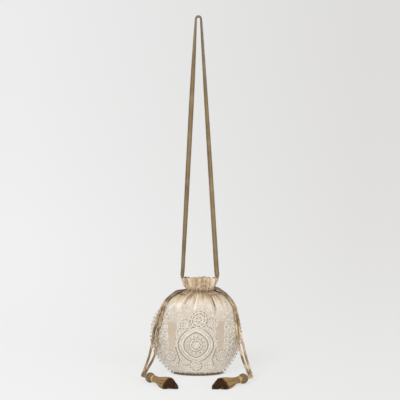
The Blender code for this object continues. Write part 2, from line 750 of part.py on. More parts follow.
def build():
    for old in list(bpy.data.objects):
        bpy.data.objects.remove(old, do_unlink=True)
    fabric = material("champagne_satin", colour(214, 193, 170), 0.45)
    lining_cloth = material("lining_satin", colour(200, 176, 145), 0.50)
    cord = material("bronze_cord", colour(132, 108, 76), 0.60)
    strap_braid = material("strap_braid", colour(134, 114, 84), 0.60)
    beads = material("pearl_beads", colour(190, 176, 160), 0.25)
    ball_thread = material("gold_ball_thread", colour(128, 98, 45), 0.50)
    band_metal = material("gold_band", colour(190, 155, 100), 0.35, 0.6)
    tassel_thread = material("tassel_thread", colour(142, 110, 68), 0.55)
    silver_thread = material("silver_thread", colour(208, 200, 186), 0.50)
    front_panel(fabric)
    back_panel(fabric)
    lining(lining_cloth)
    left_drawcord(cord)
    right_drawcord(cord)
    strap(strap_braid)
    bead_edging(beads)
    embroidery("front", -1, silver_thread)
    embroidery("back", 1, silver_thread)
    for side, ball, aim in (("left", LEFT_BALL, LEFT_TASSEL_AIM), ("right", RIGHT_BALL, RIGHT_TASSEL_AIM)):
        tassel_ball(f"tassel_{side}_ball", ball, aim, ball_thread)
        tassel_band(f"tassel_{side}_band", ball, aim, band_metal)
        tassel_skirt(f"tassel_{side}_skirt", ball, aim, tassel_thread)


build()
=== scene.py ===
# Potli bag: the looks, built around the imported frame.
import math

import bmesh
import bpy
import numpy as np
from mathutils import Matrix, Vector


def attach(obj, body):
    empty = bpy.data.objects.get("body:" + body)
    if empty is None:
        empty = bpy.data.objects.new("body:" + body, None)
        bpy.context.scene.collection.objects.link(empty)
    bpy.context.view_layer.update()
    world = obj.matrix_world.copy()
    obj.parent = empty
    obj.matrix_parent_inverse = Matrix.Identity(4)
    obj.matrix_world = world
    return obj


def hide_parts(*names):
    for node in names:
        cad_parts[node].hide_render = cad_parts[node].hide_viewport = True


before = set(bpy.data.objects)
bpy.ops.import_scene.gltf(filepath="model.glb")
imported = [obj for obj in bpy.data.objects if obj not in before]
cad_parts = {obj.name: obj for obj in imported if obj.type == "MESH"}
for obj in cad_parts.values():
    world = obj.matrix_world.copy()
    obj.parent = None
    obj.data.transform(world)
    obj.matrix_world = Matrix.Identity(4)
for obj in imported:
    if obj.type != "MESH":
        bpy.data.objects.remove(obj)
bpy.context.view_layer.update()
print("frame loaded:", len(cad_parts), "nodes")

# the bag's outline, as the panels were cut and gathered (metres)
bag = {
    "halfWidth": 0.096, "widestHeight": 0.085, "rise": 0.107, "drop": 0.095,
    "halfDepth": 0.042, "frontDrop": 0.0935, "backDrop": 0.097,
    "neckHeight": 0.187, "neckHalfWidth": 0.031, "neckHalfDepth": 0.0205, "neckBlend": 0.005,
    "frillRise": 0.018, "frillLip": 0.009, "frillHalfWidth": 0.041, "frillHalfDepth": 0.0125,
    "mouthLateness": 2.0, "frillPower": 0.6, "seamPower": 1.7, "roundStart": 0.150, "roundEnd": 0.183,
    "lean": 0.008, "leanStart": 0.110, "footLean": 0.005, "footLeanHeight": 0.040,
    "seamForward": 0.012, "seamForwardHeight": 0.035,
    "wall": 0.0013, "seamInset": 1.56, "gap": 0.0003, "pleatStart": 0.122, "neckPleat": 0.0016,
    "slotLow": 0.1807, "slotHigh": 0.1933, "slope": 0.0005,
}
neckHeight = bag["neckHeight"]
frillTop = neckHeight + bag["frillRise"] + bag["frillLip"]


def linear(red, green, blue):
    return tuple((v / 255.0) ** 2.2 for v in (red, green, blue)) + (1.0,)


def smoothStep(t):
    t = np.clip(t, 0.0, 1.0)
    return t * t * (3.0 - 2.0 * t)


def smoothMax(p, q, blend):
    return 0.5 * (p + q + np.sqrt((p - q) ** 2 + blend ** 2))


def ovalSize(z, size, drop):
    reach = np.where(z > bag["widestHeight"], bag["rise"], drop)
    return size * np.sqrt(np.maximum(0.0, 1.0 - ((z - bag["widestHeight"]) / reach) ** 2))


def flare(z):
    return smoothStep((z - neckHeight) / bag["frillRise"])


def halfWidth(z):
    # seen from the front the frill widens evenly up to its hem
    opening = np.clip((z - neckHeight) / (frillTop - neckHeight), 0.0, 1.0)
    throat = bag["neckHalfWidth"] + (bag["frillHalfWidth"] - bag["neckHalfWidth"]) * opening
    return smoothMax(ovalSize(z, bag["halfWidth"], bag["drop"]), throat, bag["neckBlend"])


def seamLine(z):
    return -bag["seamForward"] * np.maximum(0.0, 1.0 - z / bag["seamForwardHeight"]) ** 2


def panelDepth(z, front):
    throat = bag["neckHalfDepth"] + (bag["frillHalfDepth"] - bag["neckHalfDepth"]) * flare(z) ** bag["mouthLateness"]
    body = ovalSize(z, bag["halfDepth"], bag["frontDrop"] if front else bag["backDrop"])
    return smoothMax(body, throat, bag["neckBlend"]) + (seamLine(z) if front else -seamLine(z))


def leanShift(z):
    neck = bag["lean"] * smoothStep((z - bag["leanStart"]) / (neckHeight - bag["leanStart"]))
    return neck + bag["footLean"] * np.maximum(0.0, 1.0 - z / bag["footLeanHeight"]) ** 2


def sectionPower(z):
    rounding = smoothStep((z - bag["roundStart"]) / (bag["roundEnd"] - bag["roundStart"]))
    return bag["seamPower"] - (bag["seamPower"] - 1.0) * rounding - (1.0 - bag["frillPower"]) * flare(z)


def slopeFactor(size, z):
    run = bag["slope"]
    slope = (size(z + run) - size(np.maximum(0.0, z - run))) / (2.0 * run)
    return np.sqrt(1.0 + slope * slope)


def gathering(z):
    return bag["neckPleat"] * smoothStep((z - bag["pleatStart"]) / (neckHeight - bag["pleatStart"]))


def clothPoint(t, z, front, inset=0.0, fold=0.0):
    # t runs from 0 at the left seam to 1 at the right seam, as seen from the front, on either panel
    angle = math.pi * np.asarray(t, dtype=float)
    power = sectionPower(z)

    def depthOf(height):
        return panelDepth(height, front)

    deep = depthOf(z) - inset * slopeFactor(depthOf, z)
    wide = halfWidth(z) - inset * bag["seamInset"] ** (power - 1.0) * slopeFactor(halfWidth, z)
    along = np.maximum(0.0, np.sin(angle)) ** power * (-1.0 if front else 1.0)
    x = leanShift(z) - (wide + fold) * np.cos(angle)
    y = seamLine(z) + (deep + fold) * along
    return np.stack(np.broadcast_arrays(x, y, z), axis=-1)


# meshes and materials
def show(name, data):
    thing = bpy.data.objects.new(name, data)
    bpy.context.scene.collection.objects.link(thing)
    return thing


def addMesh(name, points, faces, uvs=None):
    mesh = bpy.data.meshes.new(name)
    mesh.from_pydata(np.asarray(points, dtype=float).tolist(), [], faces)
    if uvs is not None:
        layer = mesh.uv_layers.new(name="cloth")
        corners = np.empty(len(mesh.loops), dtype=np.int32)
        mesh.loops.foreach_get("vertex_index", corners)
        layer.data.foreach_set("uv", np.asarray(uvs, dtype=np.float32)[corners].ravel())
    mesh.update()
    mesh.shade_smooth()
    return show(name, mesh)


def pointValues(piece, name, values):
    layer = piece.data.attributes.new(name, "FLOAT", "POINT")
    layer.data.foreach_set("value", np.asarray(values, dtype=np.float32).ravel())


def gridFaces(rows, columns, around=False):
    faces = []
    for low in range(0, (rows - 1) * columns, columns):
        for c in range(columns if around else columns - 1):
            d = (c + 1) % columns
            faces.append((low + c, low + d, low + columns + d, low + columns + c))
    return faces


def tubeFaces(count, sides):
    # rings of points joined to a tube with flat ends
    ends = [tuple(range(sides))[::-1], tuple(range((count - 1) * sides, count * sides))]
    return gridFaces(count, sides, around=True) + ends


def faceOut(piece):
    shape = bmesh.new()
    shape.from_mesh(piece.data)
    bmesh.ops.recalc_face_normals(shape, faces=shape.faces[:])
    shape.to_mesh(piece.data)
    shape.free()
    return piece


def finish(piece, material, slotName, *nodes):
    piece.data.materials.clear()
    piece.data.materials.append(material)
    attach(piece, "root")
    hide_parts(*nodes)
    return piece


def addNode(tree, kind, settings=None, **inputs):
    # an input is named, or numbered as in _0, and gets a value or another node's socket
    made = tree.nodes.new(kind)
    for key, value in (settings or {}).items():
        setattr(made, key, value)
    for key, value in inputs.items():
        socket = made.inputs[int(key[1:]) if key[0] == "_" else key.replace("_", " ")]
        if isinstance(value, bpy.types.NodeSocket):
            tree.links.new(value, socket)
        else:
            socket.default_value = value
    return made


class Look:
    # a material with short ways to add and join its nodes; colours are given as red, green and blue up to 255
    def __init__(self, name, roughness, **fixed):
        self.material = bpy.data.materials.new(name)
        self.material.use_nodes = True
        self.tree = self.material.node_tree
        self.shader = self.tree.nodes["Principled BSDF"]
        for socket, value in {"Roughness": roughness, **fixed}.items():
            self.shader.inputs[socket.replace("_", " ")].default_value = value
        self.coords = self.node("TexCoord").outputs
        self.place = self.coords["Object"]

    def node(self, kind, settings=None, **inputs):
        return addNode(self.tree, "ShaderNode" + kind, settings, **inputs)

    def math(self, operation, a, b=0.0, c=0.0):
        return self.node("Math", {"operation": operation}, _0=a, _1=b, _2=c).outputs[0]

    def add(self, a, b):
        return self.math("ADD", a, b)

    def times(self, a, b):
        return self.math("MULTIPLY", a, b)

    def sine(self, value):
        return self.math("SINE", value)

    def vector(self, operation, a, b=(0.0, 0.0, 0.0)):
        return self.node("VectorMath", {"operation": operation}, _0=a, _1=b).outputs

    def axis(self, letter):
        return self.node("SeparateXYZ", None, _0=self.place).outputs[letter]

    def grade(self, value, low, high, most=1.0, smooth=False):
        # 0 up to low, and rising to most at high
        kind = "SMOOTHSTEP" if smooth else "LINEAR"
        return self.node("MapRange", {"clamp": True, "interpolation_type": kind}, Value=value,
                         From_Min=low, From_Max=high, To_Max=most).outputs[0]

    def mix(self, share, *pair):
        first, second = (linear(*colour) if isinstance(colour, tuple) else colour for colour in pair)
        return self.node("Mix", {"data_type": "RGBA"}, _0=share, _6=first, _7=second).outputs[2]

    def ramp(self, value, *stops):
        made = self.node("ValToRGB", None, Fac=value)
        elements = made.color_ramp.elements
        while len(elements) < len(stops):
            elements.new(0.5)
        for element, (place, *colour) in zip(elements, stops):
            element.position = place
            element.color = linear(*colour)
        return made.outputs["Color"]

    def attribute(self, name):
        return self.node("Attribute", {"attribute_name": name}).outputs["Fac"]

    def noise(self, scale, detail=3.0, rough=0.5):
        made = self.node("TexNoise", None, Vector=self.place, Scale=scale, Detail=detail, Roughness=rough)
        return made.outputs["Fac"]

    def bump(self, height, distance, strength=1.0, after=None):
        made = self.node("Bump", None, Height=height, Distance=distance, Strength=strength)
        if after is not None:
            self.tree.links.new(after, made.inputs["Normal"])
        return made.outputs["Normal"]

    def use(self, **sockets):
        for key, value in sockets.items():
            self.tree.links.new(value, self.shader.inputs[key.replace("_", " ")])
        return self.material


# camera, floor and light
shot = {
    "height": 1.4397, "distance": 5.0, "pitch": 11.91, "lens": 213.99, "across": 0.0087,
    "worldStrength": 0.58, "floorShown": 0.74, "floorHalf": 14.0,
    "nearLeft": (242, 242, 242), "nearRight": (234, 234, 232), "farLeft": (248, 248, 248), "farRight": (232, 231, 230),
    # the view's slopes to the left and right, and where the paper turns from near to far
    "slopes": (-0.075, 0.070), "turn": (-0.1, 1.4),
    # the shade under the foot: its middle, its reach and how it fades
    "footMiddle": (0.005, -0.001, 0.0), "footReach": (0.050, 0.0225), "footFade": (0.88, 1.26),
    # place, target, size and power
    "lamps": {"keyLamp": ((-1.5, -2.2, 2.6), (0, 0, 0.1), 1.3, 44.0),
              "fillLamp": ((2.2, -2.0, 1.4), (0, 0, 0.1), 1.8, 24.0),
              "frontLamp": ((-0.3, -2.6, 0.30), (0, 0, 0.07), 1.4, 38.0)},
}
cameraData = bpy.data.cameras.new("photoCamera")
cameraData.lens = shot["lens"]
cameraData.sensor_width = 36.0
cameraData.clip_end = 80.0
camera = show("photoCamera", cameraData)
camera.location = (shot["across"], -shot["distance"], shot["height"])
camera.rotation_euler = (math.radians(90.0 - shot["pitch"]), 0.0, 0.0)
bpy.context.scene.camera = camera
bpy.context.scene.view_settings.view_transform = "Standard"

half = shot["floorHalf"]
floor = addMesh("studioFloor", [(-half, -half, 0), (half, -half, 0), (half, half, 0), (-half, half, 0)], [(0, 1, 2, 3)])
look = Look("paleFloor", 0.9, Specular_IOR_Level=0.1)
away = look.add(look.axis("Y"), shot["distance"])
across = look.grade(look.math("DIVIDE", look.axis("X"), away), *shot["slopes"])
far = look.grade(look.axis("Y"), *shot["turn"], smooth=True)
paper = look.mix(far, look.mix(across, shot["nearLeft"], shot["nearRight"]),
                 look.mix(across, shot["farLeft"], shot["farRight"]))
# under the bag's round foot the paper is shaded
wide, deep = shot["footReach"]
oval = look.vector("SUBTRACT", look.place, shot["footMiddle"])[0]
oval = look.vector("MULTIPLY", oval, (1 / wide, 1 / deep, 0.0))[0]
shade = look.grade(look.vector("LENGTH", oval)["Value"], *shot["footFade"], smooth=True)
paper = look.mix(shade, (48, 37, 27), paper)
look.use(Base_Color=paper)
share = look.times(look.node("LightPath").outputs["Is Camera Ray"], shot["floorShown"])
glow = look.node("Emission", None, Color=paper)
blend = look.node("MixShader", None, _0=share, _1=look.shader.outputs[0], _2=glow.outputs[0])
look.tree.links.new(blend.outputs[0], look.tree.nodes["Material Output"].inputs["Surface"])
floor.data.materials.append(look.material)

for name, (place, target, size, power) in shot["lamps"].items():
    lampData = bpy.data.lights.new(name, "AREA")
    lampData.shape = "SQUARE"
    lampData.size = size
    lampData.energy = power
    lamp = show(name, lampData)
    lamp.location = place
    lamp.rotation_euler = (Vector(target) - Vector(place)).to_track_quat("-Z", "Y").to_euler()

world = bpy.data.worlds.new("studioAir")
bpy.context.scene.world = world
world.use_nodes = True
sky = world.node_tree
air = sky.nodes["Background"]
air.inputs["Color"].default_value = (1.0, 1.0, 1.0, 1.0)
air.inputs["Strength"].default_value = shot["worldStrength"]
rays = addNode(sky, "ShaderNodeLightPath").outputs["Is Camera Ray"]
shown = addNode(sky, "ShaderNodeBackground", Color=linear(*shot["farRight"]))
either = addNode(sky, "ShaderNodeMixShader", _0=rays, _1=air.outputs[0], _2=shown.outputs[0])
sky.links.new(either.outputs[0], sky.nodes["World Output"].inputs["Surface"])

print("camera, floor and lamps set")

# the drawcords' route, which is the CAD's
cords = {
    "radius": 0.0026, "lift": 0.0004, "clearance": 0.0003, "entryRun": 0.014, "step": 0.0016,
    "leftHeight": 0.1841, "rightHeight": 0.1899, "sides": 16, "strandTurn": 0.014,
    "seenHalf": 0.0032, "diameter": 0.0058,
}
tassels = {
    "ballRadius": 0.0110, "ballFace": 0.0058, "bandRadius": 0.0078, "bandLength": 0.0050,
    "skirtLength": 0.0560, "headRadius": 0.0072, "endHalfWidth": 0.0165, "endHalfHeight": 0.0105,
    "left": ((-0.0983, -0.0758), (0.0450, -0.0525)),
    "right": ((0.1013, -0.0840), (-0.0495, -0.0455)),
}


def plainSection(angle, z, inset=0.0):
    # angle 0 is the right seam, 90 degrees the back, 180 the left seam and 270 the front
    front = math.sin(angle) < 0.0
    t = (math.acos(max(-1.0, min(1.0, -math.cos(angle))))) / math.pi
    return Vector(clothPoint(t, z, front, inset).tolist())


def outwardAt(angle, z):
    around = plainSection(angle + 0.01, z) - plainSection(angle - 0.01, z)
    upward = plainSection(angle, z + 0.0005) - plainSection(angle, z - 0.0005)
    return around.cross(upward).normalized()


def besideBag(side, degrees, share):
    # a cord centre lying on the panels, so many degrees forward of the seam, at a share of the neck's height
    z = share * neckHeight
    angle = math.pi + math.radians(degrees) if side < 0 else 2.0 * math.pi - math.radians(degrees)
    away = cords["radius"] + cords["lift"] + float(gathering(z))
    return plainSection(angle, z) + outwardAt(angle, z) * away


def alongBag(side, stations):
    spots = []
    for (d0, s0), (d1, s1) in zip(stations, stations[1:]):
        spots += [besideBag(side, d0 + (d1 - d0) * share, s0 + (s1 - s0) * share) for share in (0.0, 0.5)]
    return spots + [besideBag(side, *stations[-1])]


def spotsAt(goals, lengths, line):
    return np.stack([np.interp(goals, lengths, column) for column in line.T], axis=-1)


def smoothRoute(points, step):
    points = [Vector(p) for p in points]
    ends = [2.0 * points[0] - points[1]] + points + [2.0 * points[-1] - points[-2]]
    dense = [points[0]]
    for p0, p1, p2, p3 in zip(ends, ends[1:], ends[2:], ends[3:]):
        t1 = (p1 - p0).length ** 0.5
        t2 = t1 + (p2 - p1).length ** 0.5
        t3 = t2 + (p3 - p2).length ** 0.5
        for k in range(1, 17):
            t = t1 + (t2 - t1) * k / 16
            a1 = p0 * ((t1 - t) / t1) + p1 * (t / t1)
            a2 = p1 * ((t2 - t) / (t2 - t1)) + p2 * ((t - t1) / (t2 - t1))
            a3 = p2 * ((t3 - t) / (t3 - t2)) + p3 * ((t - t2) / (t3 - t2))
            b1 = a1 * ((t2 - t) / t2) + a2 * (t / t2)
            b2 = a2 * ((t3 - t) / (t3 - t1)) + a3 * ((t - t1) / (t3 - t1))
            dense.append(b1 * ((t2 - t) / (t2 - t1)) + b2 * ((t - t1) / (t2 - t1)))
    dense = np.array([tuple(p) for p in dense])
    lengths = runLengths(dense)
    goals = np.linspace(0.0, lengths[-1], max(2, round(lengths[-1] / step)) + 1)
    return spotsAt(goals, lengths, dense)


def runLengths(line):
    return np.concatenate([[0.0], np.cumsum(np.linalg.norm(np.diff(line, axis=0), axis=1))])


def channelRing(side, height):
    inset = bag["wall"] + bag["neckPleat"] + cords["clearance"] + cords["radius"]
    start = 180.0 if side < 0 else 0.0
    stops = [start + side * d for d in (42, 70, 98, 126, 154, 180, 206, 234, 262, 290, 318)]
    return [plainSection(math.radians(d) % (2.0 * math.pi), height, inset) for d in stops]


def slotPoints(side, height, front):
    y = math.copysign(cords["radius"] + cords["clearance"], front)
    edge = float(leanShift(height)) + side * float(halfWidth(height))
    return [Vector((edge - side * 0.0010, 1.25 * y, height)), Vector((edge + side * 0.0055, y, height - 0.0006))]


def tasselAxis(which):
    place, toward = tassels[which]
    axis = Vector((toward[0], toward[1], 0.0)).normalized()
    return Vector((place[0], place[1], tassels["ballRadius"])), axis, Vector((-axis.y, axis.x, 0.0))


ballReach = math.sqrt(tassels["ballRadius"] ** 2 - tassels["ballFace"] ** 2)


def cordEntry(which, shift):
    centre, axis, across = tasselAxis(which)
    end = centre - axis * (ballReach + cords["clearance"]) + across * shift * (cords["radius"] + cords["clearance"])
    return [end - axis * cords["entryRun"], end - axis * cords["entryRun"] / 2, end]


def drawcordRoute(which, side, height, backFree, backStations, frontFree, frontStations):
    back = [Vector(p) for p in backFree] + alongBag(side, backStations)
    front = [Vector(p) for p in frontFree] + alongBag(side, frontStations)
    points = cordEntry(which, side)[::-1] + back + slotPoints(side, height, 1.0)[::-1] + channelRing(side, height)
    points += slotPoints(side, height, -1.0) + front[::-1] + cordEntry(which, -side)
    return smoothRoute(points, cords["step"])


leftRoute = drawcordRoute(
    "left", -1, cords["leftHeight"],
    ((-0.1130, -0.0500, 0.0170), (-0.1070, -0.0410, 0.0310), (-0.1005, -0.0310, 0.0490), (-0.0960, -0.0195, 0.0680)),
    ((20, 0.48), (26, 0.63), (19, 0.745), (7, 0.83), (-4, 0.905), (-9, 0.952)),
    ((-0.1080, -0.0470, 0.0155), (-0.1010, -0.0410, 0.0270), (-0.0920, -0.0365, 0.0430), (-0.0865, -0.0280, 0.0630)),
    ((31, 0.48), (35, 0.63), (29, 0.745), (20, 0.83), (13, 0.905), (10, 0.952)))
rightRoute = drawcordRoute(
    "right", 1, cords["rightHeight"],
    ((0.1180, -0.0590, 0.0170), (0.1130, -0.0480, 0.0320), (0.1070, -0.0340, 0.0500), (0.1020, -0.0190, 0.0690)),
    ((14, 0.49), (13, 0.615), (8, 0.715), (0, 0.80), (-6, 0.882), (-9, 0.947)),
    ((0.1125, -0.0560, 0.0155), (0.1070, -0.0480, 0.0270), (0.1000, -0.0370, 0.0440), (0.0945, -0.0270, 0.0640)),
    ((25, 0.48), (24, 0.615), (20, 0.715), (14, 0.80), (11, 0.882), (10, 0.947)))


def sweep(name, route, halfWide, halfThick, twist, sides, hint, rim=0.0):
    # a closed tube with an oval section, turned by twist along the route, and a rim along its two edges
    tangents = np.gradient(route, axis=0)
    tangents /= np.linalg.norm(tangents, axis=1)[:, None]
    sideways = np.zeros_like(route)
    side = np.array(hint, dtype=float)
    for i, along in enumerate(tangents):
        side = side - along * side.dot(along)
        side /= np.linalg.norm(side)
        sideways[i] = side
    upward = np.cross(tangents, sideways)
    count = len(route)
    turn = np.linspace(0.0, 2.0 * math.pi, sides, endpoint=False)
    spin = np.broadcast_to(twist, (count,))[:, None]
    axisA = sideways * np.cos(spin) + upward * np.sin(spin)
    axisB = -sideways * np.sin(spin) + upward * np.cos(spin)
    c = np.cos(turn)
    s = np.sin(turn) * (1.0 + rim * smoothStep((np.abs(c) - 0.55) / 0.35))
    wide = np.broadcast_to(halfWide, (count,))[:, None, None]
    thick = np.broadcast_to(halfThick, (count,))[:, None, None]
    points = route[:, None] + axisA[:, None] * (c[None, :, None] * wide) + axisB[:, None] * (s[None, :, None] * thick)
    around = np.broadcast_to(turn / (2.0 * math.pi), (count, sides))
    run = np.broadcast_to(runLengths(route)[:, None], (count, sides))
    piece = addMesh(name, points.reshape(-1, 3), tubeFaces(count, sides))
    pointValues(piece, "around", around)
    pointValues(piece, "run", run)
    pointValues(piece, "edge", np.broadcast_to(np.abs(c), (count, sides)))
    return faceOut(piece)


# satin cord, softly twisted: fine slanted strands and a lighter ridge
look = Look("bronzeSatinCord", 0.32, Sheen_Weight=0.3, Sheen_Roughness=0.35)
turns = look.times(look.attribute("run"), 2.0 * math.pi / cords["strandTurn"])
around = look.times(look.attribute("around"), 2.0 * math.pi)
strands = look.sine(look.add(look.times(around, 3.0), turns))
threads = look.sine(look.add(look.times(around, 22.0), look.times(turns, 3.0)))
tone = look.add(look.times(strands, 0.05), look.noise(55.0))
# painted shade: the left cord is painted a little darker than the right one
tone = look.add(tone, look.times(look.axis("X"), 0.6))
colour = look.ramp(tone, (0.32, 102, 79, 48), (0.50, 148, 122, 86), (0.64, 198, 174, 138))
# painted shade: the cord is darker where it comes out of the gathers
gatherShade = look.grade(look.axis("Z"), 0.150, 0.186, 0.8, smooth=True)
cordSatin = look.use(Base_Color=look.mix(gatherShade, colour, (80, 61, 38)),
                     Normal=look.bump(threads, 0.00012, 0.6, look.bump(strands, 0.0002, 0.6)))

routes = {"left": leftRoute, "right": rightRoute}
drawcords = {}
for which, route in routes.items():
    drawcords[which] = sweep("drawcord_" + which + "_satin", route, cords["radius"], cords["seenHalf"], 0.0,
                             cords["sides"], (0.0, 1.0, 0.0))
    finish(drawcords[which], cordSatin, "cord", "drawcord_" + which)
print("drawcords laid")

# strap: a flat braid, held straight up, that turns slowly on its way
strapSet = {
    "halfWidth": 0.0052, "halfThick": 0.0013, "outward": 0.0014, "footHeight": 0.1991, "sideSlack": 0.0005,
    "cadRadius": 0.0030, "plait": 0.0024, "footShare": 0.52, "footRun": 0.012,
    "apexX": 0.0054, "apexHeight": 0.782, "bend": 0.0055, "step": 0.0028,
    "turns": ((0.0, 0.75), (0.06, 0.65), (0.16, 0.30), (0.34, 0.10), (0.47, 1.05), (0.5, 1.30),
              (0.53, 1.1), (0.66, 0.65), (0.82, 0.25), (0.95, 0.10), (1.0, 0.20)),
}


def strapX(z):
    return float(halfWidth(z)) - bag["wall"] - cords["clearance"] - strapSet["cadRadius"] - strapSet["sideSlack"]


legs = []
for side in (-1, 1):
    middle = float(leanShift(frillTop))
    foot = Vector((middle + side * strapX(strapSet["footHeight"]), 0.0, strapSet["footHeight"]))
    brim = Vector((middle + side * (strapX(frillTop) + strapSet["outward"]), 0.0, frillTop))
    top = Vector((strapSet["apexX"] + side * strapSet["bend"], 0.0, strapSet["apexHeight"] - strapSet["bend"]))
    legs.append([foot, brim] + [brim.lerp(top, share) for share in (0.03, 0.25, 0.50, 0.75, 0.985)] + [top])
crown = []
for degrees in (150, 120, 90, 60, 30):
    turn = math.radians(degrees)
    crown.append(Vector((strapSet["apexX"] + strapSet["bend"] * math.cos(turn), 0.0,
                         strapSet["apexHeight"] - strapSet["bend"] + strapSet["bend"] * math.sin(turn))))
strapRoute = smoothRoute(legs[0] + crown + legs[1][::-1], strapSet["step"])

look = Look("strapBraid", 0.42, Sheen_Weight=0.3, Sheen_Roughness=0.4)
slant = look.times(look.attribute("around"), 14.0 * math.pi)
rising = look.times(look.attribute("run"), 2.0 * math.pi / strapSet["plait"])
plaits = look.times(look.sine(look.add(rising, slant)), look.sine(look.math("SUBTRACT", rising, slant)))
tone = look.add(look.times(plaits, 0.10), look.times(look.noise(30.0), 0.55))
# painted shade: the braid is painted darker towards its two edges
tone = look.math("SUBTRACT", look.add(tone, 0.21), look.times(look.attribute("edge"), 0.22))
# painted shade: its left leg is painted darker than the right one
tone = look.add(tone, look.times(look.axis("X"), 1.4))
strapBraid = look.use(Base_Color=look.ramp(tone, (0.18, 84, 67, 38), (0.42, 118, 98, 64), (0.66, 144, 124, 90)),
                      Normal=look.bump(plaits, 0.00035, 0.9))

strapRun = runLengths(strapRoute)
shareAlong = strapRun / strapRun[-1]
twist = math.pi / 2.0 - np.interp(shareAlong, *zip(*strapSet["turns"]))
# it is drawn together at its feet
fromFoot = np.minimum(shareAlong, 1.0 - shareAlong) * strapRun[-1]
opened = smoothStep((fromFoot - strapSet["footRun"]) / strapSet["footRun"])
strapWide = strapSet["halfWidth"] * (strapSet["footShare"] + (1.0 - strapSet["footShare"]) * opened)
strap = sweep("strap_flat_braid", strapRoute, strapWide, strapSet["halfThick"], twist, 20, (0.0, 1.0, 0.0), rim=0.35)
finish(strap, strapBraid, "strap", "strap")
print("strap hung")


# the panels: cloth that is smooth on the belly, folds towards the neck and opens into the frill
cloth = {
    "columns": 300, "bellyRows": 62, "neckRows": 74, "rollRows": 3, "baseRows": 8, "foldDepth": 0.0024,
    "frillDepth": 0.0036, "folds": 17, "seed": 11, "mouthPinch": 0.0088, "pinchStart": 0.193, "mouthStart": 0.196,
    "slotTrim": 0.115, "slotEdge": 0.0022, "frontFoot": 0.0003, "seamCalm": 0.62,
    # how far a fold's edges stray from even steps, its share of the depth and where it runs out
    "stray": 0.28, "shares": (0.65, 1.25), "ends": (0.126, 0.158),
    "groove": 0.0024, "grooveHeight": 0.1876, "grooveTilt": 0.0032, "grooveWidth": 0.0028,
    # across, up, phase and size of the waves that crumple the frill
    "waves": ((2.6, 0.35, 0.4, 0.9), (4.3, -0.55, 2.1, 0.8), (6.9, 0.45, 4.0, 0.55), (10.7, -0.30, 1.2, 0.52),
              (15.1, 0.60, 5.1, 0.34)),
    # across, height, pitch, reach and size of the arcs; across, width, rise and top of the fold at the foot
    "swirl": (0.585, 0.1885, 0.0078, 0.022, 0.55), "notch": (0.515, 0.020, 0.0042, 0.012),
    # across, depth or height, width and lowest point of the largest folds
    "deepFolds": ((0.667, 0.0054, 0.0062, 0.130), (0.345, 0.0030, 0.012, 0.134), (0.44, 0.0018, 0.010, 0.146),
                  (0.575, 0.0020, 0.010, 0.140), (0.77, 0.0022, 0.011, 0.136)),
    "crests": ((0.470, 0.0038, 0.014, 0.140), (0.395, 0.0020, 0.016, 0.128), (0.62, 0.0022, 0.016, 0.124),
               (0.27, 0.0018, 0.020, 0.130)),
    # across, height, spread across, spread up and strength of the brown shadows where the cloth is drawn in
    "shadows": ((0.464, 0.1932, 0.030, 0.0020, 0.9), (0.548, 0.1888, 0.045, 0.0020, 1.0),
                (0.732, 0.1874, 0.055, 0.0020, 1.0), (0.075, 0.1775, 0.050, 0.0050, 0.9),
                (0.30, 0.1895, 0.050, 0.0018, 0.8), (0.62, 0.1800, 0.010, 0.0070, 0.7),
                (0.38, 0.1790, 0.009, 0.0080, 0.7), (0.54, 0.1790, 0.007, 0.0070, 0.6)),
    "plainLow": 0.052, "plainHigh": 0.123, "plainInner": (0.0490, 0.0425), "plainOuter": (0.0605, 0.0640),
}


class Folds:
    # uneven folds: each has its own width, depth and the height at which it runs out
    def __init__(self, seed):
        rng = np.random.default_rng(seed)
        count = cloth["folds"]
        edges = np.linspace(0.0, 1.0, count + 1)
        edges[1:-1] += rng.uniform(-cloth["stray"], cloth["stray"], count - 1) / count
        self.edges = edges
        self.depth = rng.uniform(*cloth["shares"], count)
        self.low = rng.uniform(*cloth["ends"], count)
        self.sway = rng.uniform(-1.0, 1.0, 6)

    def height(self, t, z):
        above = flare(z)
        up = z - neckHeight
        wander = 0.018 * above * (np.sin(9.0 * t + self.sway[0] + 90.0 * up) + 0.6 * np.sin(23.0 * t + self.sway[1]))
        wander = wander + 0.014 * (1.0 - above) * np.sin(11.0 * t + self.sway[2] + 85.0 * up)
        phase = np.interp(np.clip(t + wander, 0.0, 1.0), self.edges, np.arange(len(self.edges)))
        within = phase - np.clip(phase.astype(int), 0, cloth["folds"] - 1)
        middles = np.arange(cloth["folds"]) + 0.5
        reach = np.interp(phase, middles, self.low)
        grow = smoothStep((z - reach) / (neckHeight - reach))
        size = np.interp(phase, middles, self.depth)
        finer = smoothStep((z - 0.150) / 0.025)
        fine = 2.0 * np.sin(math.pi * within) ** 0.75 - 1.0
        wave = np.cos(math.pi * (phase + 0.5)) * (1.0 - finer) + fine * finer
        return wave * size * cloth["foldDepth"] * grow * (1.0 - 0.75 * above)


def crumple(t, z):
    # the frill's soft folds: slanting waves, and arcs about the spot where the cloth is bunched
    up = (z - neckHeight) / (frillTop - neckHeight)
    waves = sum(size * np.sin(2.0 * math.pi * (across * t + rise * up) + phase)
                for across, rise, phase, size in cloth["waves"])
    spotT, spotZ, pitch, reach, size = cloth["swirl"]
    away = np.hypot((t - spotT) * 0.095, (z - spotZ) * 1.15)
    about = np.exp(-(away / reach) ** 4)
    swirl = size * np.cos(2.0 * math.pi * away / pitch) * smoothStep((away - 0.004) / 0.005) * about
    return cloth["frillDepth"] * (0.62 * waves * (1.0 - 0.6 * about) + swirl) * smoothStep(up / 0.35)


frontFolds, backFolds = Folds(cloth["seed"]), Folds(cloth["seed"] + 5)


def grooveAt(t):
    # the drawn-in line sits a little lower on the right
    return cloth["grooveHeight"] + cloth["grooveTilt"] * (0.5 - t)


def grooveShare(t, z, lift=0.0):
    return np.exp(-((z - grooveAt(t) + lift) / cloth["grooveWidth"]) ** 2)


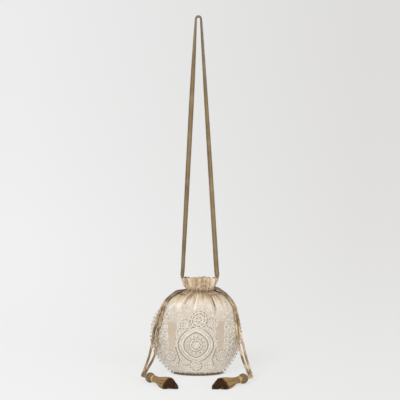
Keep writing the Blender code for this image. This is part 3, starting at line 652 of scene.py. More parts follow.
def foldHeight(t, z, front):
    # near the seams the folds stay shallow, so that the drawcords lie clear of them
    t, z = np.broadcast_arrays(np.asarray(t, dtype=float), z)
    high = (frontFolds if front else backFolds).height(t, z)
    if front:
        ending = 1.0 - smoothStep((z - 0.172) / 0.012)
        spreading = 1.0 + 1.2 * smoothStep((0.165 - z) / 0.03)
        for spots, sign in ((cloth["deepFolds"], -1.0), (cloth["crests"], 1.0)):
            for middle, size, width, low in spots:
                grow = smoothStep((z - low) / 0.030) * ending
                high = high + sign * size * grow * np.exp(-((t - middle) / (width * spreading)) ** 2)
        high = high + crumple(t, z)
    else:
        # at the mouth the back wall follows the front one
        high = high - crumple(t, z) * smoothStep((z - cloth["mouthStart"]) / 0.012)
    high = high - cloth["groove"] * grooveShare(t, z)
    calm = smoothStep(np.sin(math.pi * t) / cloth["seamCalm"])
    shallow = np.clip(high, -gathering(z), 0.55 * gathering(z) + 0.0002)
    frillCalm = 1.0 - flare(z) * (1.0 - calm)
    return (shallow * (1.0 - calm) + high * calm) * frillCalm


def pinch(t, z, front):
    # above the neck the two walls are drawn together in the middle, so the mouth is all but shut
    shut = smoothStep((z - cloth["pinchStart"]) / 0.014)
    middle = np.sin(math.pi * t) ** 2
    swell = (0.55 + 0.45 * np.sin(5.0 * math.pi * t + (0.4 if front else 2.0))) * cloth["mouthPinch"]
    return shut * middle * swell


def frillEdge(t, front):
    # the hem rises and falls, and the front stands a little higher than the back
    wave = 0.0010 * np.sin(7.0 * math.pi * t + 0.8) + 0.0008 * np.sin(17.0 * math.pi * t + (0.0 if front else 1.7))
    corner = 0.0026 * np.abs(np.cos(math.pi * t)) ** 7
    return wave - corner + (0.0016 if front else -0.0022) * np.sin(math.pi * t)


def panelRows(front):
    foot = np.linspace(cloth["frontFoot"] if front else 0.0, 0.012, 12)
    belly = np.linspace(0.0135, 0.120, cloth["bellyRows"])
    return np.concatenate([foot, belly, np.linspace(0.1215, frillTop, cloth["neckRows"])])


def clothAt(t, z, front, inset=0.0):
    # the finished surface, folds, pinched mouth and wavy hem and all
    t, z = np.broadcast_arrays(np.asarray(t, dtype=float), np.asarray(z, dtype=float))
    high = foldHeight(t, z, front) - pinch(t, z, front)
    spots = clothPoint(t, z, front, inset, high)
    stretch = smoothStep((z - cloth["mouthStart"]) / (frillTop - cloth["mouthStart"]))
    spots[..., 2] = spots[..., 2] + stretch * frillEdge(t, front)
    return spots


def panelColumns(rows):
    # near the drawcords' slots the panels stop short of the seam
    t = np.linspace(0.0, 1.0, cloth["columns"] + 1)[None, :]
    z = rows[:, None]
    edge = cloth["slotEdge"]
    opening = smoothStep((z - bag["slotLow"] + edge) / edge) * smoothStep((bag["slotHigh"] + edge - z) / edge)
    trim = cloth["slotTrim"] * opening
    return trim + t * (1.0 - 2.0 * trim), z


def plainBand(z):
    # how far from the middle line each plain satin band begins and ends
    share = smoothStep((z - cloth["plainLow"]) / (cloth["plainHigh"] - cloth["plainLow"]))
    sway = 0.0009 * np.sin(z * 330.0)
    return [low + (high - low) * share + sway for low, high in (cloth["plainInner"], cloth["plainOuter"])]


def stitchedMask(s, z):
    # 1 where the cloth is embroidered, 0 on the plain satin bands and in the gathers
    body = 1.0 - smoothStep((z - 0.126 - 0.02 * np.cos(s / 0.045)) / 0.030)
    inner, outer = plainBand(z)
    away = np.abs(s)
    band = smoothStep((away - inner + 0.0020) / 0.004) * smoothStep((outer + 0.0020 - away) / 0.004)
    band = band * smoothStep((z - cloth["plainLow"]) / 0.006)
    band = band * (1.0 - smoothStep((z - cloth["plainHigh"] + 0.004) / 0.008))
    return np.clip(body - band, 0.0, 1.0)


def paintedCreaseShade(t, z, front, fold):
    # painted shade: how deep each spot lies between its folds sets how dark it is painted; the first deep fold is the
    # sharpest
    crease = smoothStep(-(fold - 0.0002) / 0.0030) * smoothStep((z - 0.132) / 0.03)
    sharp = np.exp(-((t - cloth["deepFolds"][0][0]) / 0.03) ** 4) if front else 0.0
    crease = crease * (0.58 + 0.42 * sharp * (1.0 - flare(z)))
    uneven = 0.62 + 0.38 * np.sin(61.0 * t + 3.0 * np.sin(17.0 * t))
    crease = np.maximum(crease, 0.95 * grooveShare(t, z, 0.0006) * uneven)
    for middle, height, across, up, strength in cloth["shadows"] if front else ():
        spot = strength * np.exp(-((t - middle) / across) ** 2 - ((z - height) / up) ** 2)
        crease = np.maximum(crease, spot)
    return crease


def crestShine(t, z, front, fold):
    # the largest crest catches the light, and so do the frill's folds
    shine = 0.40 * smoothStep((fold - 0.0008) / 0.0030) * smoothStep((z - 0.1905) / 0.006)
    if front:
        middle, size, width, low = cloth["crests"][0]
        along = smoothStep((z - low) / 0.02) * (1.0 - smoothStep((z - 0.176) / 0.012))
        shine = shine + np.exp(-((t - middle) / (0.7 * width)) ** 2) * along
    return shine


def panelPiece(name, front):
    rows = panelRows(front)
    t, z = panelColumns(rows)
    outer = clothAt(t, z, front)
    inner = clothAt(t, z, front, bag["wall"])
    if front:
        # a small fold lifts the foot a little off the floor
        middle, width, rise, top = cloth["notch"]
        lift = rise * np.exp(-((t - middle) / width) ** 2) * np.maximum(0.0, 1.0 - z / top)
        outer[..., 2] += lift
        inner[..., 2] += lift
    else:
        inner[..., 2] = np.maximum(inner[..., 2], bag["wall"])
    arc = np.cumsum(np.linalg.norm(np.diff(outer, axis=1, prepend=outer[:, :1]), axis=2), axis=1)
    arc -= arc[:, cloth["columns"] // 2][:, None]
    height = z + 0.0 * arc
    # layers of points, with their place on the cloth, from the foot up outside and down again inside
    layers = [(outer[k], arc[k], height[k], 0.0) for k in range(len(rows))]
    extra = 0 if front else cloth["baseRows"]
    if not front:
        # the base reaches forward under the bag to the front panel's foot
        ahead = clothPoint(t[0], cloth["frontFoot"], True, bag["wall"] + bag["gap"])
        ahead[..., 2] = 0.0
        layers = [(ahead + (outer[0] - ahead) * k / extra, arc[0], height[0] - 0.01 * (extra - k), 0.0)
                  for k in range(extra)] + layers
    for k in range(1, cloth["rollRows"] + 1):
        turn = math.pi * k / (cloth["rollRows"] + 1)
        spot = (outer[-1] + inner[-1]) / 2 + (outer[-1] - inner[-1]) / 2 * math.cos(turn)
        spot[:, 2] += 0.5 * bag["wall"] * math.sin(turn)
        layers.append((spot, arc[-1], height[-1], 0.5))
    layers += [(inner[k], arc[k], height[k], 1.0) for k in range(len(rows) - 1, -1, -1)]
    if not front:
        raised = layers[0][0] + np.array([0.0, 0.0, bag["wall"]])
        layers += [(raised + (inner[0] - raised) * k / extra, arc[0], height[0], 1.0) for k in range(extra - 1, -1, -1)]
    spots, runs, heights, sides = zip(*layers)
    count, wide = len(layers), cloth["columns"] + 1
    faces = gridFaces(count, wide)
    for r in range(count // 2):
        other = count - 1 - r
        if other - r < 2:
            break
        for c, turn in ((0, 1), (wide - 1, -1)):
            face = (r * wide + c, (r + 1) * wide + c, (other - 1) * wide + c, other * wide + c)
            face = face if other - r > 2 else face[:2] + face[3:]
            faces.append(face[::turn])
    last = (count - 1) * wide
    faces += [(c, c + 1, last + c + 1, last + c) for c in range(wide - 1)]
    s, v = np.concatenate(runs), np.concatenate(heights)
    piece = addMesh(name, np.concatenate(spots), faces, np.stack([s, v], axis=-1))
    pointValues(piece, "stitched", stitchedMask(s, v))
    fold = foldHeight(t, z, front)
    blank = np.zeros((extra, wide))
    for label, measure in (("crease", paintedCreaseShade), ("shine", crestShine)):
        values = measure(t, z, front, fold)
        roll = np.repeat(values[-1:], cloth["rollRows"], axis=0)
        pointValues(piece, label, np.concatenate([blank, values, roll, values[::-1], blank]))
    pointValues(piece, "inside", np.repeat(sides, wide))
    return faceOut(piece)


# champagne satin: silvery under the embroidery, peach in the plain bands, golden in the gathers and frill; above the
# embroidery a painted highlight, and in the gathers at the neck painted shade
look = Look("champagneSatin", 0.40, Sheen_Weight=0.25, Sheen_Roughness=0.45)
soft = look.noise(38.0, 4.0)
height = look.axis("Z")
plain = look.mix(look.grade(height, 0.105, 0.060), look.mix(soft, (182, 165, 146), (166, 149, 131)),
                 (188, 174, 154))
# by height: a light tone above the embroidery that is partly painted highlight, painted shade in the gathers at the
# neck, and the satin's own golden tone in the frill
upperHighlightAndShade = look.ramp(height, (0.125, 218, 207, 193), (0.150, 224, 216, 206), (0.165, 210, 197, 177),
                  (0.179, 166, 145, 118), (0.188, 140, 117, 91), (0.197, 168, 145, 120), (0.214, 190, 168, 142))
golden = look.mix(look.grade(look.noise(75.0, 2.0), 0.35, 0.65), upperHighlightAndShade, look.mix(0.45, upperHighlightAndShade, (166, 138, 106)))
ground = look.mix(look.grade(height, 0.120, 0.134), plain, golden)
# painted shade: the plain satin is painted a little darker on the right
ground = look.mix(look.grade(look.axis("X"), 0.010, 0.065, 0.32), ground, (172, 154, 136))
# painted light: the embroidered ground is painted lighter towards the foot, where the cloth turns down
worked = look.mix(look.grade(height, 0.060, 0.010, 0.95),
                  look.mix(soft, (194, 184, 169), (178, 166, 150)), (214, 204, 190))
tone = look.mix(look.attribute("stitched"), ground, worked)
tone = look.mix(look.times(look.attribute("shine"), 0.75), tone, (232, 218, 200))
# painted shade in the creases, the groove and the brown shadows where the cloth is drawn in
tone = look.mix(look.times(look.attribute("crease"), 0.80), tone, (108, 85, 58))
# painted shade: the cloth turns dark brown at its foot, where it curves under
tone = look.mix(look.grade(height, 0.0024, 0.0078, smooth=True), (92, 72, 52), tone)
tone = look.mix(look.math("GREATER_THAN", look.attribute("inside"), 0.75), tone, (176, 148, 116))
warp, weft = (look.node("TexWave", {"wave_type": "BANDS", "bands_direction": way}, Vector=look.coords["UV"],
                        Scale=scale, Distortion=0.4).outputs["Fac"] for way, scale in (("X", 420.0), ("Y", 520.0)))
bumped = look.bump(look.add(warp, look.times(weft, 0.6)), 0.00008, 0.5)
champagneSatin = look.use(Base_Color=tone, Normal=look.bump(look.noise(150.0, 5.0, 0.6), 0.0011, 0.55, bumped))

panels = {
    "front": finish(panelPiece("front_panel_satin", True), champagneSatin, "fabric", "front_panel"),
    "back": finish(panelPiece("back_panel_satin", False), champagneSatin, "fabric", "back_panel"),
}
print("panels sewn")

# lining, seen only down in the mouth
look = Look("liningSatin", 0.5, Sheen_Weight=0.2)
soft = look.noise(60.0, 4.0)
liningSatin = look.use(Base_Color=look.mix(soft, (204, 178, 146), (170, 142, 110)),
                       Normal=look.bump(soft, 0.0015, 0.5))
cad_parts["lining"].data.materials[0] = liningSatin


class Tree:
    # a Geometry Nodes tree that grows a piece from guide lines or points
    def __init__(self, name, **inputs):
        self.tree = bpy.data.node_groups.new(name, "GeometryNodeTree")
        self.tree.interface.new_socket(name="Guides", in_out="INPUT", socket_type="NodeSocketGeometry")
        for label, kind in inputs.items():
            self.tree.interface.new_socket(name=label, in_out="INPUT", socket_type="NodeSocket" + kind)
        self.tree.interface.new_socket(name="Geometry", in_out="OUTPUT", socket_type="NodeSocketGeometry")
        self.source = self.tree.nodes.new("NodeGroupInput").outputs
        self.output = self.tree.nodes.new("NodeGroupOutput")

    def node(self, kind, settings=None, **inputs):
        whole = kind if kind.startswith(("Shader", "Function")) else "GeometryNode" + kind
        return addNode(self.tree, whole, settings, **inputs)

    def field(self, name, kind):
        made = self.node("InputNamedAttribute", {"data_type": kind}, Name=name)
        return next(socket for socket in made.outputs if socket.enabled and socket.name == "Attribute")

    def close(self, geometry, material):
        plain = self.node("RealizeInstances", None, _0=geometry)
        soft = self.node("SetShadeSmooth", None, _0=plain.outputs[0])
        painted = self.node("SetMaterial", None, _0=soft.outputs[0], Material=material)
        self.tree.links.new(painted.outputs[0], self.output.inputs[0])
        return self

    def grow(self, name, guides, **values):
        # the guides run through the tree and come back as one plain mesh
        modifier = guides.modifiers.new("grow", "NODES")
        modifier.node_group = self.tree
        for socket in self.tree.interface.items_tree:
            if socket.in_out == "INPUT" and socket.name in values:
                modifier[socket.identifier] = values[socket.name]
        bpy.context.view_layer.update()
        grown = bpy.data.meshes.new_from_object(guides.evaluated_get(bpy.context.evaluated_depsgraph_get()))
        grown.name = name
        guides.modifiers.remove(modifier)
        bpy.data.objects.remove(guides, do_unlink=True)
        return show(name, grown)


def guideObject(name, lines, **fields):
    # each line is an open run of points, and each field holds a number or a direction for every point
    edges = []
    first = 0
    for line in lines:
        edges += [(first + k, first + k + 1) for k in range(len(line) - 1)]
        first += len(line)
    mesh = bpy.data.meshes.new(name)
    mesh.from_pydata(np.concatenate(lines).tolist(), edges, [])
    for label, values in fields.items():
        values = np.concatenate(values).astype(np.float32)
        vector = values.ndim == 2
        layer = mesh.attributes.new(label, "FLOAT_VECTOR" if vector else "FLOAT", "POINT")
        layer.data.foreach_set("vector" if vector else "value", values.ravel())
    return show(name, mesh)


def bandTree(name, material):
    # every guide line becomes a rounded band, its width and turn taken from the guide
    grower = Tree(name, Flatness="Float", Sides="Int")
    lines = grower.node("MeshToCurve", None, Mesh=grower.source["Guides"])
    turned = grower.node("SetCurveNormal", {"mode": "FREE"}, Curve=lines.outputs[0],
                         _2=grower.field("up", "FLOAT_VECTOR"))
    length = grower.node("SplineParameter").outputs["Length"]
    noted = grower.node("StoreNamedAttribute", {"data_type": "FLOAT", "domain": "POINT"}, Geometry=turned.outputs[0],
                        Name="along", Value=length)
    ring = grower.node("CurvePrimitiveCircle", None, Resolution=grower.source["Sides"], Radius=1.0)
    flat = grower.node("ShaderNodeCombineXYZ", None, _0=grower.source["Flatness"], _1=1.0, _2=1.0)
    oval = grower.node("Transform", None, Geometry=ring.outputs[0], Scale=flat.outputs[0])
    skin = grower.node("CurveToMesh", None, Curve=noted.outputs[0], Profile_Curve=oval.outputs[0],
                       Scale=grower.field("wide", "FLOAT"), Fill_Caps=True)
    return grower.close(skin.outputs[0], material)


def pearlTree(name, material, segments, rings):
    # a small flattened ball on every guide point, turned and sized by the guide
    grower = Tree(name, Flatness="Float")
    ball = grower.node("MeshUVSphere", None, Segments=segments, Rings=rings, Radius=1.0)
    turned = grower.node("FunctionNodeAlignRotationToVector", {"axis": "Z"}, Vector=grower.field("up", "FLOAT_VECTOR"))
    size = grower.field("wide", "FLOAT")
    low = grower.node("ShaderNodeMath", {"operation": "MULTIPLY"}, _0=size, _1=grower.source["Flatness"])
    scale = grower.node("ShaderNodeCombineXYZ", None, _0=size, _1=size, _2=low.outputs[0])
    placed = grower.node("InstanceOnPoints", None, Points=grower.source["Guides"], Instance=ball.outputs[0],
                         Rotation=turned.outputs[0], Scale=scale.outputs[0])
    return grower.close(placed.outputs[0], material)


# tassels: a wound ball, a gold band of thread turns and a skirt of loose threads with cut ends darkened by painted
# shade
def turnedPiece(name, which, profile, sides, ridges=0, depth=0.0):
    centre, axis, across = (np.array(v) for v in tasselAxis(which))
    turn = np.linspace(0.0, 2.0 * math.pi, sides, endpoint=False)
    arm = across[None] * np.cos(turn)[:, None] + np.array([0.0, 0.0, 1.0]) * np.sin(turn)[:, None]
    points = []
    for distance, radius, lay in profile:
        ridge = 1.0 + depth * np.cos(ridges * turn + lay)
        points.append(centre + axis * distance + arm * (radius * ridge)[:, None])
    return faceOut(addMesh(name, np.concatenate(points), tubeFaces(len(profile), sides)))


look = Look("oliveGoldWinding", 0.42, Sheen_Weight=0.3)
windingTone = look.ramp(look.noise(420.0), (0.3, 62, 42, 12), (0.5, 100, 76, 32), (0.68, 148, 120, 66))
oliveWinding = look.use(Base_Color=windingTone, Normal=look.bump(look.noise(1600.0, 2.0), 0.0002, 0.5))
look = Look("goldThreadBand", 0.30, Metallic=0.55, Sheen_Weight=0.2)
goldBand = look.use(Base_Color=look.mix(look.noise(500.0, 2.0), (206, 172, 116), (160, 126, 74)),
                    Normal=look.bump(look.noise(1800.0, 2.0), 0.0002, 0.5))
look = Look("goldenThread", 0.36, Sheen_Weight=0.12, Sheen_Roughness=0.35)
tone = look.ramp(look.attribute("shade"), (0.0, 98, 70, 36), (0.5, 140, 109, 66), (1.0, 186, 155, 104))
# painted shade at the cut ends, reaching further up inside the bundle
cutEndShade = look.grade(look.attribute("down"), 0.925, 0.970)
goldenThread = look.use(Base_Color=look.mix(cutEndShade, tone, (72, 49, 27)),
                        Normal=look.bump(look.noise(900.0, 2.0), 0.0002, 0.3))

skirtSet = {
    "threads": 620, "points": 12, "radius": 0.00056, "sides": 5, "slantLeft": 0.86, "slantRight": -1.0,
    "foot": 0.0150, "crown": 0.0245, "seed": 3, "shell": 0.90, "darker": 0.13,
}


def skirtLines(which):
    # the threads spread from the band, sag onto the floor and are cut on a slant
    rng = np.random.default_rng(skirtSet["seed"] + (which == "right"))
    centre, axis, across = (np.array(v) for v in tasselAxis(which))
    start = ballReach + cords["clearance"] + tassels["bandLength"] - 0.0004
    share = np.linspace(0.0, 1.0, skirtSet["points"])
    swell = smoothStep(share * 0.62) / smoothStep(0.62)
    head, thin = tassels["headRadius"], skirtSet["radius"]
    wide = head + (tassels["endHalfWidth"] - head) * swell - thin
    high = head + (tassels["endHalfHeight"] - head) * swell - thin
    middle = tassels["ballRadius"] + (tassels["endHalfHeight"] - tassels["ballRadius"]) * swell
    # the round head opens into a low wedge: wide on the floor and peaked on top
    settle = smoothStep((share - 0.15) / 0.80)
    lines, shades, downs = [], [], []
    for k in range(skirtSet["threads"]):
        ring = rng.uniform(skirtSet["shell"], 1.0) if k % 2 else math.sqrt(rng.uniform(0.0, 0.9))
        turn = rng.uniform(0.0, 2.0 * math.pi)
        around = turn + rng.uniform(-0.10, 0.10) * share + rng.uniform(-0.05, 0.05) * np.sin(2.0 * math.pi * share)
        beside, above = np.cos(around), np.sin(around)
        rise = np.clip(0.5 + 0.60 * ring * above, 0.0, 1.0)
        wedge = skirtSet["foot"] * (1.0 - 0.74 * rise ** 1.2) * ring * np.sign(beside) * np.abs(beside) ** 0.45
        sideways = wide * ring * beside * (1.0 - settle) + wedge * settle
        height = (middle + high * ring * above) * (1.0 - settle) + skirtSet["crown"] * rise * settle
        cut = skirtSet["slant" + which.capitalize()] * sideways[-1] + rng.uniform(-0.0012, 0.0006)
        reach = tassels["skirtLength"] - 0.002 + cut
        line = centre + axis * (start + reach * share)[:, None] + across * sideways[:, None]
        line[:, 2] = np.maximum(height, thin + 0.0002)
        lines.append(line)
        shades.append(np.full(len(share), np.clip(rng.normal(0.5, 0.22), 0.0, 1.0)))
        # painted shade: inside the bundle the threads are painted dark further up, as the cut shows
        downs.append(share + skirtSet["darker"] * (ring < skirtSet["shell"]))
    return lines, shades, downs


faceAngle = math.asin(tassels["ballFace"] / tassels["ballRadius"])
start = ballReach + cords["clearance"]
ballProfile = [(-tassels["ballRadius"] * math.cos(t), tassels["ballRadius"] * math.sin(t) * 0.985, 3.0 * t)
               for t in np.linspace(faceAngle, math.pi - faceAngle, 32)]
# the band is wound in four turns
bandProfile = [(start + tassels["bandLength"] * s,
                tassels["bandRadius"] * (0.90 + 0.11 * abs(math.sin(4 * math.pi * s))), 0)
               for s in np.linspace(0.0, 1.0, 33)]
for which in ("left", "right"):
    ball = turnedPiece("tassel_" + which + "_wound_ball", which, ballProfile, 192, 30, 0.030)
    finish(ball, oliveWinding, "ball", "tassel_" + which + "_ball")
    band = turnedPiece("tassel_" + which + "_gold_band", which, bandProfile, 72)
    finish(band, goldBand, "band", "tassel_" + which + "_band")
    lines, shades, downs = skirtLines(which)
    guides = guideObject("skirtGuides", lines, up=[np.tile([0.0, 0.0, 1.0], (len(line), 1)) for line in lines],
                         wide=[np.full(len(line), skirtSet["radius"]) for line in lines], shade=shades, down=downs)
    skirt = bandTree("threadGrower", goldenThread).grow("tassel_" + which + "_threads", guides, Flatness=1.0,
                                                        Sides=skirtSet["sides"])
    finish(skirt, goldenThread, "tassel", "tassel_" + which + "_skirt")
    route = routes[which]
print("tassels tied")

# beads on the side seams and along the front foot
beadSet = {
    "radius": 0.0020, "clearance": 0.0003, "pitch": 0.0086, "topLeft": 0.142, "topRight": 0.124, "foot": 0.0046,
    "thread": 0.00042, "round": 0.00205,
}


def seamBead(side, z):
    spot = plainSection(math.pi if side < 0 else 0.0, z)
    slope = float(halfWidth(z + 0.0005) - halfWidth(z - 0.0005)) / 0.001
    return spot + Vector((side, 0.0, -slope)).normalized() * (beadSet["radius"] + beadSet["clearance"])


def beadRoute():
    height = beadSet["radius"] + beadSet["clearance"]
    sides = []
    for side, top in ((-1, beadSet["topLeft"]), (1, beadSet["topRight"])):
        sides.append([seamBead(side, top + (beadSet["foot"] - top) * k / 10) for k in range(11)])
    foot = []
    for degrees in range(195, 346, 15):
        angle = math.radians(degrees)
        away = outwardAt(angle, height)
        away.z = 0.0
        reach = height * float(slopeFactor(lambda h: panelDepth(h, True), height))
        foot.append(plainSection(angle, height) + away.normalized() * reach)
    return smoothRoute(sides[0] + foot + sides[1][::-1], 0.0012)


look = Look("pearlBead", 0.22, Coat_Weight=0.4, Coat_Roughness=0.15)
soft = look.noise(240.0, 2.0)
pearly = look.ramp(soft, (0.35, 152, 132, 112), (0.5, 190, 172, 152), (0.65, 222, 210, 194))
# painted shade: the row along the foot is painted a dark brown
clearOfFootShade = look.grade(look.axis("Z"), 0.006, 0.014)
pearlBead = look.use(Base_Color=look.mix(clearOfFootShade, (124, 102, 80), pearly),
                     Roughness=look.math("MULTIPLY_ADD", soft, 0.2, 0.15))
route = beadRoute()
lengths = runLengths(route)
stops = (np.arange(int(lengths[-1] / beadSet["pitch"])) + 0.5) * beadSet["pitch"]
beadTurns = spotsAt(stops, lengths, np.gradient(route, axis=0))
guides = guideObject("beadGuides", [spotsAt(stops, lengths, route)], up=[beadTurns],
                     wide=[np.full(len(stops), beadSet["round"])])
beads = pearlTree("beadGrower", pearlBead, 14, 9).grow("seam_pearl_beads", guides, Flatness=0.88)
finish(beads, pearlBead, "beads", "bead_edging")
guides = guideObject("threadGuides", [route], up=[np.tile([0.0, 1.0, 0.0], (len(route), 1))],
                     wide=[np.full(len(route), beadSet["thread"])])
thread = bandTree("threadGrower", champagneSatin).grow("seam_bead_thread", guides, Flatness=1.0, Sides=6)
finish(thread, champagneSatin, "beads", "bead_edging")
print("beads strung:", len(stops))

# embroidery: couched silver cord, satin-stitched leaves and seed pearls, drawn in metres from the middle line
stitch = {
    "step": 0.0013, "cord": 0.00205, "fine": 0.00135, "flatness": 0.42, "sides": 6, "sink": 0.10,
    "seedPitch": 0.0044, "seed": 0.00165, "pearl": 0.00150, "seedRoom": 0.0036, "leafWider": 1.3, "edge": 0.0050,
    "strand": 0.0009, "seed0": 7, "seedRows": (0.0065, 0.154),
}


class ClothMap:
    # finds the spot that lies so far from a panel's middle line, measured along the cloth
    def __init__(self, front):
        self.front = front
        self.rows = np.linspace(0.001, 0.186, 150)
        self.runs = np.linspace(-0.135, 0.135, 271)
        t = np.linspace(0.0, 1.0, 401)
        spots = clothPoint(t[None, :], self.rows[:, None], front)
        arc = np.cumsum(np.linalg.norm(np.diff(spots, axis=1, prepend=spots[:, :1]), axis=2), axis=1)
        arc -= arc[:, 200][:, None]
        self.table = np.stack([np.interp(self.runs, row, t) for row in arc])
        self.widest = arc[:, -1]

    def reach(self, z):
        return np.interp(z, self.rows, self.widest)

    def turn(self, s, z):
        row = np.clip((z - self.rows[0]) / (self.rows[1] - self.rows[0]), 0, len(self.rows) - 1.001)
        run = np.clip((s - self.runs[0]) / (self.runs[1] - self.runs[0]), 0, len(self.runs) - 1.001)
        a, b = row.astype(int), run.astype(int)
        u, v = row - a, run - b
        low = self.table[a, b] * (1 - v) + self.table[a, b + 1] * v
        high = self.table[a + 1, b] * (1 - v) + self.table[a + 1, b + 1] * v
        return low * (1 - u) + high * u

    def place(self, flat, lift):
        s, z = flat[:, 0] * (1.0 if self.front else -1.0), flat[:, 1]
        t = self.turn(s, z)
        across = clothAt(t + 0.003, z, self.front) - clothAt(t - 0.003, z, self.front)
        upward = clothAt(t, z + 0.0008, self.front) - clothAt(t, z - 0.0008, self.front)
        normal = np.cross(across, upward) * (1.0 if self.front else -1.0)
        normal /= np.linalg.norm(normal, axis=1)[:, None]
        return clothAt(t, z, self.front) + normal * np.asarray(lift)[:, None], normal


def rerun(points, step, closed=False):
    # the same line with evenly spaced points
    points = np.asarray(points, dtype=float)
    if closed:
        points = np.concatenate([points, points[:1]])
    lengths = runLengths(points)
    goals = np.linspace(0.0, lengths[-1], max(3, round(lengths[-1] / step)) + 1)
    return spotsAt(goals, lengths, points)


def curveThrough(points, count=12):
    # a smooth flat line through the given spots
    points = np.asarray(points, dtype=float)
    ends = np.concatenate([[2 * points[0] - points[1]], points, [2 * points[-1] - points[-2]]])
    u = np.linspace(0.0, 1.0, count, endpoint=False)[:, None]
    runs = []
    for p0, p1, p2, p3 in zip(ends, ends[1:], ends[2:], ends[3:]):
        runs.append(0.5 * (2 * p1 + (p2 - p0) * u + (2 * p0 - 5 * p1 + 4 * p2 - p3) * u ** 2
                           + (3 * p1 - p0 - 3 * p2 + p3) * u ** 3))
    return np.concatenate(runs + [points[-1:]])


def onCircle(middle, radius, turn):
    # turn runs from straight up, and is one angle or many
    return np.stack([middle[0] + radius * np.sin(turn), middle[1] + radius * np.cos(turn)], axis=-1)


def awayFrom(stem, k, hand, ahead, aside):
    # a direction that leaves a stem at its spot k, partly ahead and partly to one hand
    along = stem[k + 2] - stem[k]
    along /= np.linalg.norm(along)
    return ahead * along + aside * hand * np.array([-along[1], along[0]])


class Needlework:
    # gathers a panel's strokes and pearls as flat (s, z) lines
    def __init__(self, front):
        self.map = ClothMap(front)
        self.lines, self.widths, self.tones = [], [], []
        self.pearls, self.sizes, self.pearlTones = [], [], []

    def keep(self, line, widths, dark):
        self.lines.append(line)
        self.widths.append(widths)
        self.tones.append(np.full(len(line), dark))

    def stroke(self, points, width, closed=False, taper=0.0, dark=0.0):
        line = rerun(points, stitch["step"], closed)
        if closed:
            line = np.concatenate([line, line[1:2]])
        ends = np.sin(math.pi * np.linspace(0.0, 1.0, len(line))) ** 0.6
        self.keep(line, width * (1.0 - taper + taper * np.maximum(ends, 0.12)), dark)

    def leaf(self, base, tip, width, bend=0.0):
        # one satin-stitched leaf, full in the middle and pointed at its ends
        base, tip = np.array(base, dtype=float), np.array(tip, dtype=float)
        side = np.array([-(tip - base)[1], (tip - base)[0]])
        share = np.linspace(0.0, 1.0, 7)[:, None]
        line = base + (tip - base) * share + side * bend * np.sin(math.pi * share)
        fullness = np.maximum(np.sin(math.pi * np.linspace(0.04, 0.97, 7)) ** 0.8, 0.18)
        self.keep(line, stitch["leafWider"] * width * fullness, 0.0)

    def ring(self, middle, radius, width, lobes=0, depth=0.0):
        turn = np.linspace(0.0, 2.0 * math.pi, max(24, 8 * lobes), endpoint=False)
        self.stroke(onCircle(middle, radius * (1.0 + depth * np.cos(lobes * turn)), turn), width, True)

    def flower(self, middle, inner, outer, count, width, swirl=0.0):
        for turn in 2.0 * math.pi * np.arange(count) / count:
            self.leaf(onCircle(middle, inner, turn), onCircle(middle, outer, turn + swirl), width, 0.25 * swirl)

    def dashes(self, middle, radius, count, width, run, phase=0.0):
        # painted shade: short dark stitches along a ring, in the shadowed gaps of the embroidery
        for k in range(count):
            turn = 2.0 * math.pi * (k + np.linspace(0.0, run, 5)) / count + phase
            self.stroke(onCircle(middle, radius, turn), width, taper=0.6, dark=1.0)

    def scroll(self, middle, radius, turns, hand, start, width, inner=0.22):
        # a spiral from its outside in
        share = np.linspace(0.0, 1.0, int(26 * turns))
        size = radius * (1.0 - (1.0 - inner) * share ** 0.85)
        line = onCircle(middle, size, start + hand * 2.0 * math.pi * turns * share)
        self.stroke(line, width)
        self.pearl(middle, stitch["pearl"] * 1.3)
        return line[0]

    def pearl(self, spot, size, dark=0.0):
        self.pearls.append(np.asarray(spot, dtype=float))
        self.sizes.append(size)
        self.pearlTones.append(dark)

    def pearlRing(self, middle, radius, count, size):
        for turn in 2.0 * math.pi * np.arange(count) / count:
            self.pearl(onCircle(middle, radius, turn), size)

    def both(self, draw):
        # the same drawing on the left and the right of the middle line
        for side in (-1.0, 1.0):
            draw(side)

    def seeds(self, rng):
        # seed stitches wherever the embroidered ground is still bare
        taken = np.concatenate(self.lines + [np.array(self.pearls)])
        pitch = stitch["seedPitch"]
        spots = []
        for r, z in enumerate(np.arange(*stitch["seedRows"], pitch * 0.866)):
            limit = float(self.map.reach(z)) - stitch["edge"]
            run = np.arange(-limit + (r % 2) * pitch / 2.0, limit, pitch)
            spots.append(np.stack([run, np.full(len(run), z)], axis=-1))
        spots = np.concatenate(spots)
        spots = spots + rng.uniform(-0.18, 0.18, spots.shape) * pitch
        spots = spots[stitchedMask(spots[:, 0], spots[:, 1]) > 0.45]
        clear = np.array([np.min(np.sum((taken - spot) ** 2, axis=1)) > stitch["seedRoom"] ** 2 for spot in spots])
        for spot in spots[clear]:
            self.pearl(spot, stitch["seed"] * rng.uniform(0.85, 1.2))

    def make(self, name):
        lines, ups = [], []
        for line, width in zip(self.lines, self.widths):
            spots, normals = self.map.place(line, width * stitch["flatness"] * stitch["sink"] + 0.0001)
            lines.append(spots)
            ups.append(normals)
        guides = guideObject("strokeGuides", lines, up=ups, wide=self.widths, dark=self.tones)
        strokes = bandTree("strokeGrower", silverThread).grow(name, guides, Flatness=stitch["flatness"],
                                                              Sides=stitch["sides"])
        sizes = np.array(self.sizes)
        spots, normals = self.map.place(np.array(self.pearls), sizes * 0.35)
        guides = guideObject("pearlGuides", [spots], up=[normals], wide=[sizes], dark=[np.array(self.pearlTones)])
        pearls = pearlTree("pearlGrower", silverThread, 6, 4).grow(name + "_pearls", guides, Flatness=0.8)
        return strokes, pearls


medallionMiddle = (0.0, 0.0733)


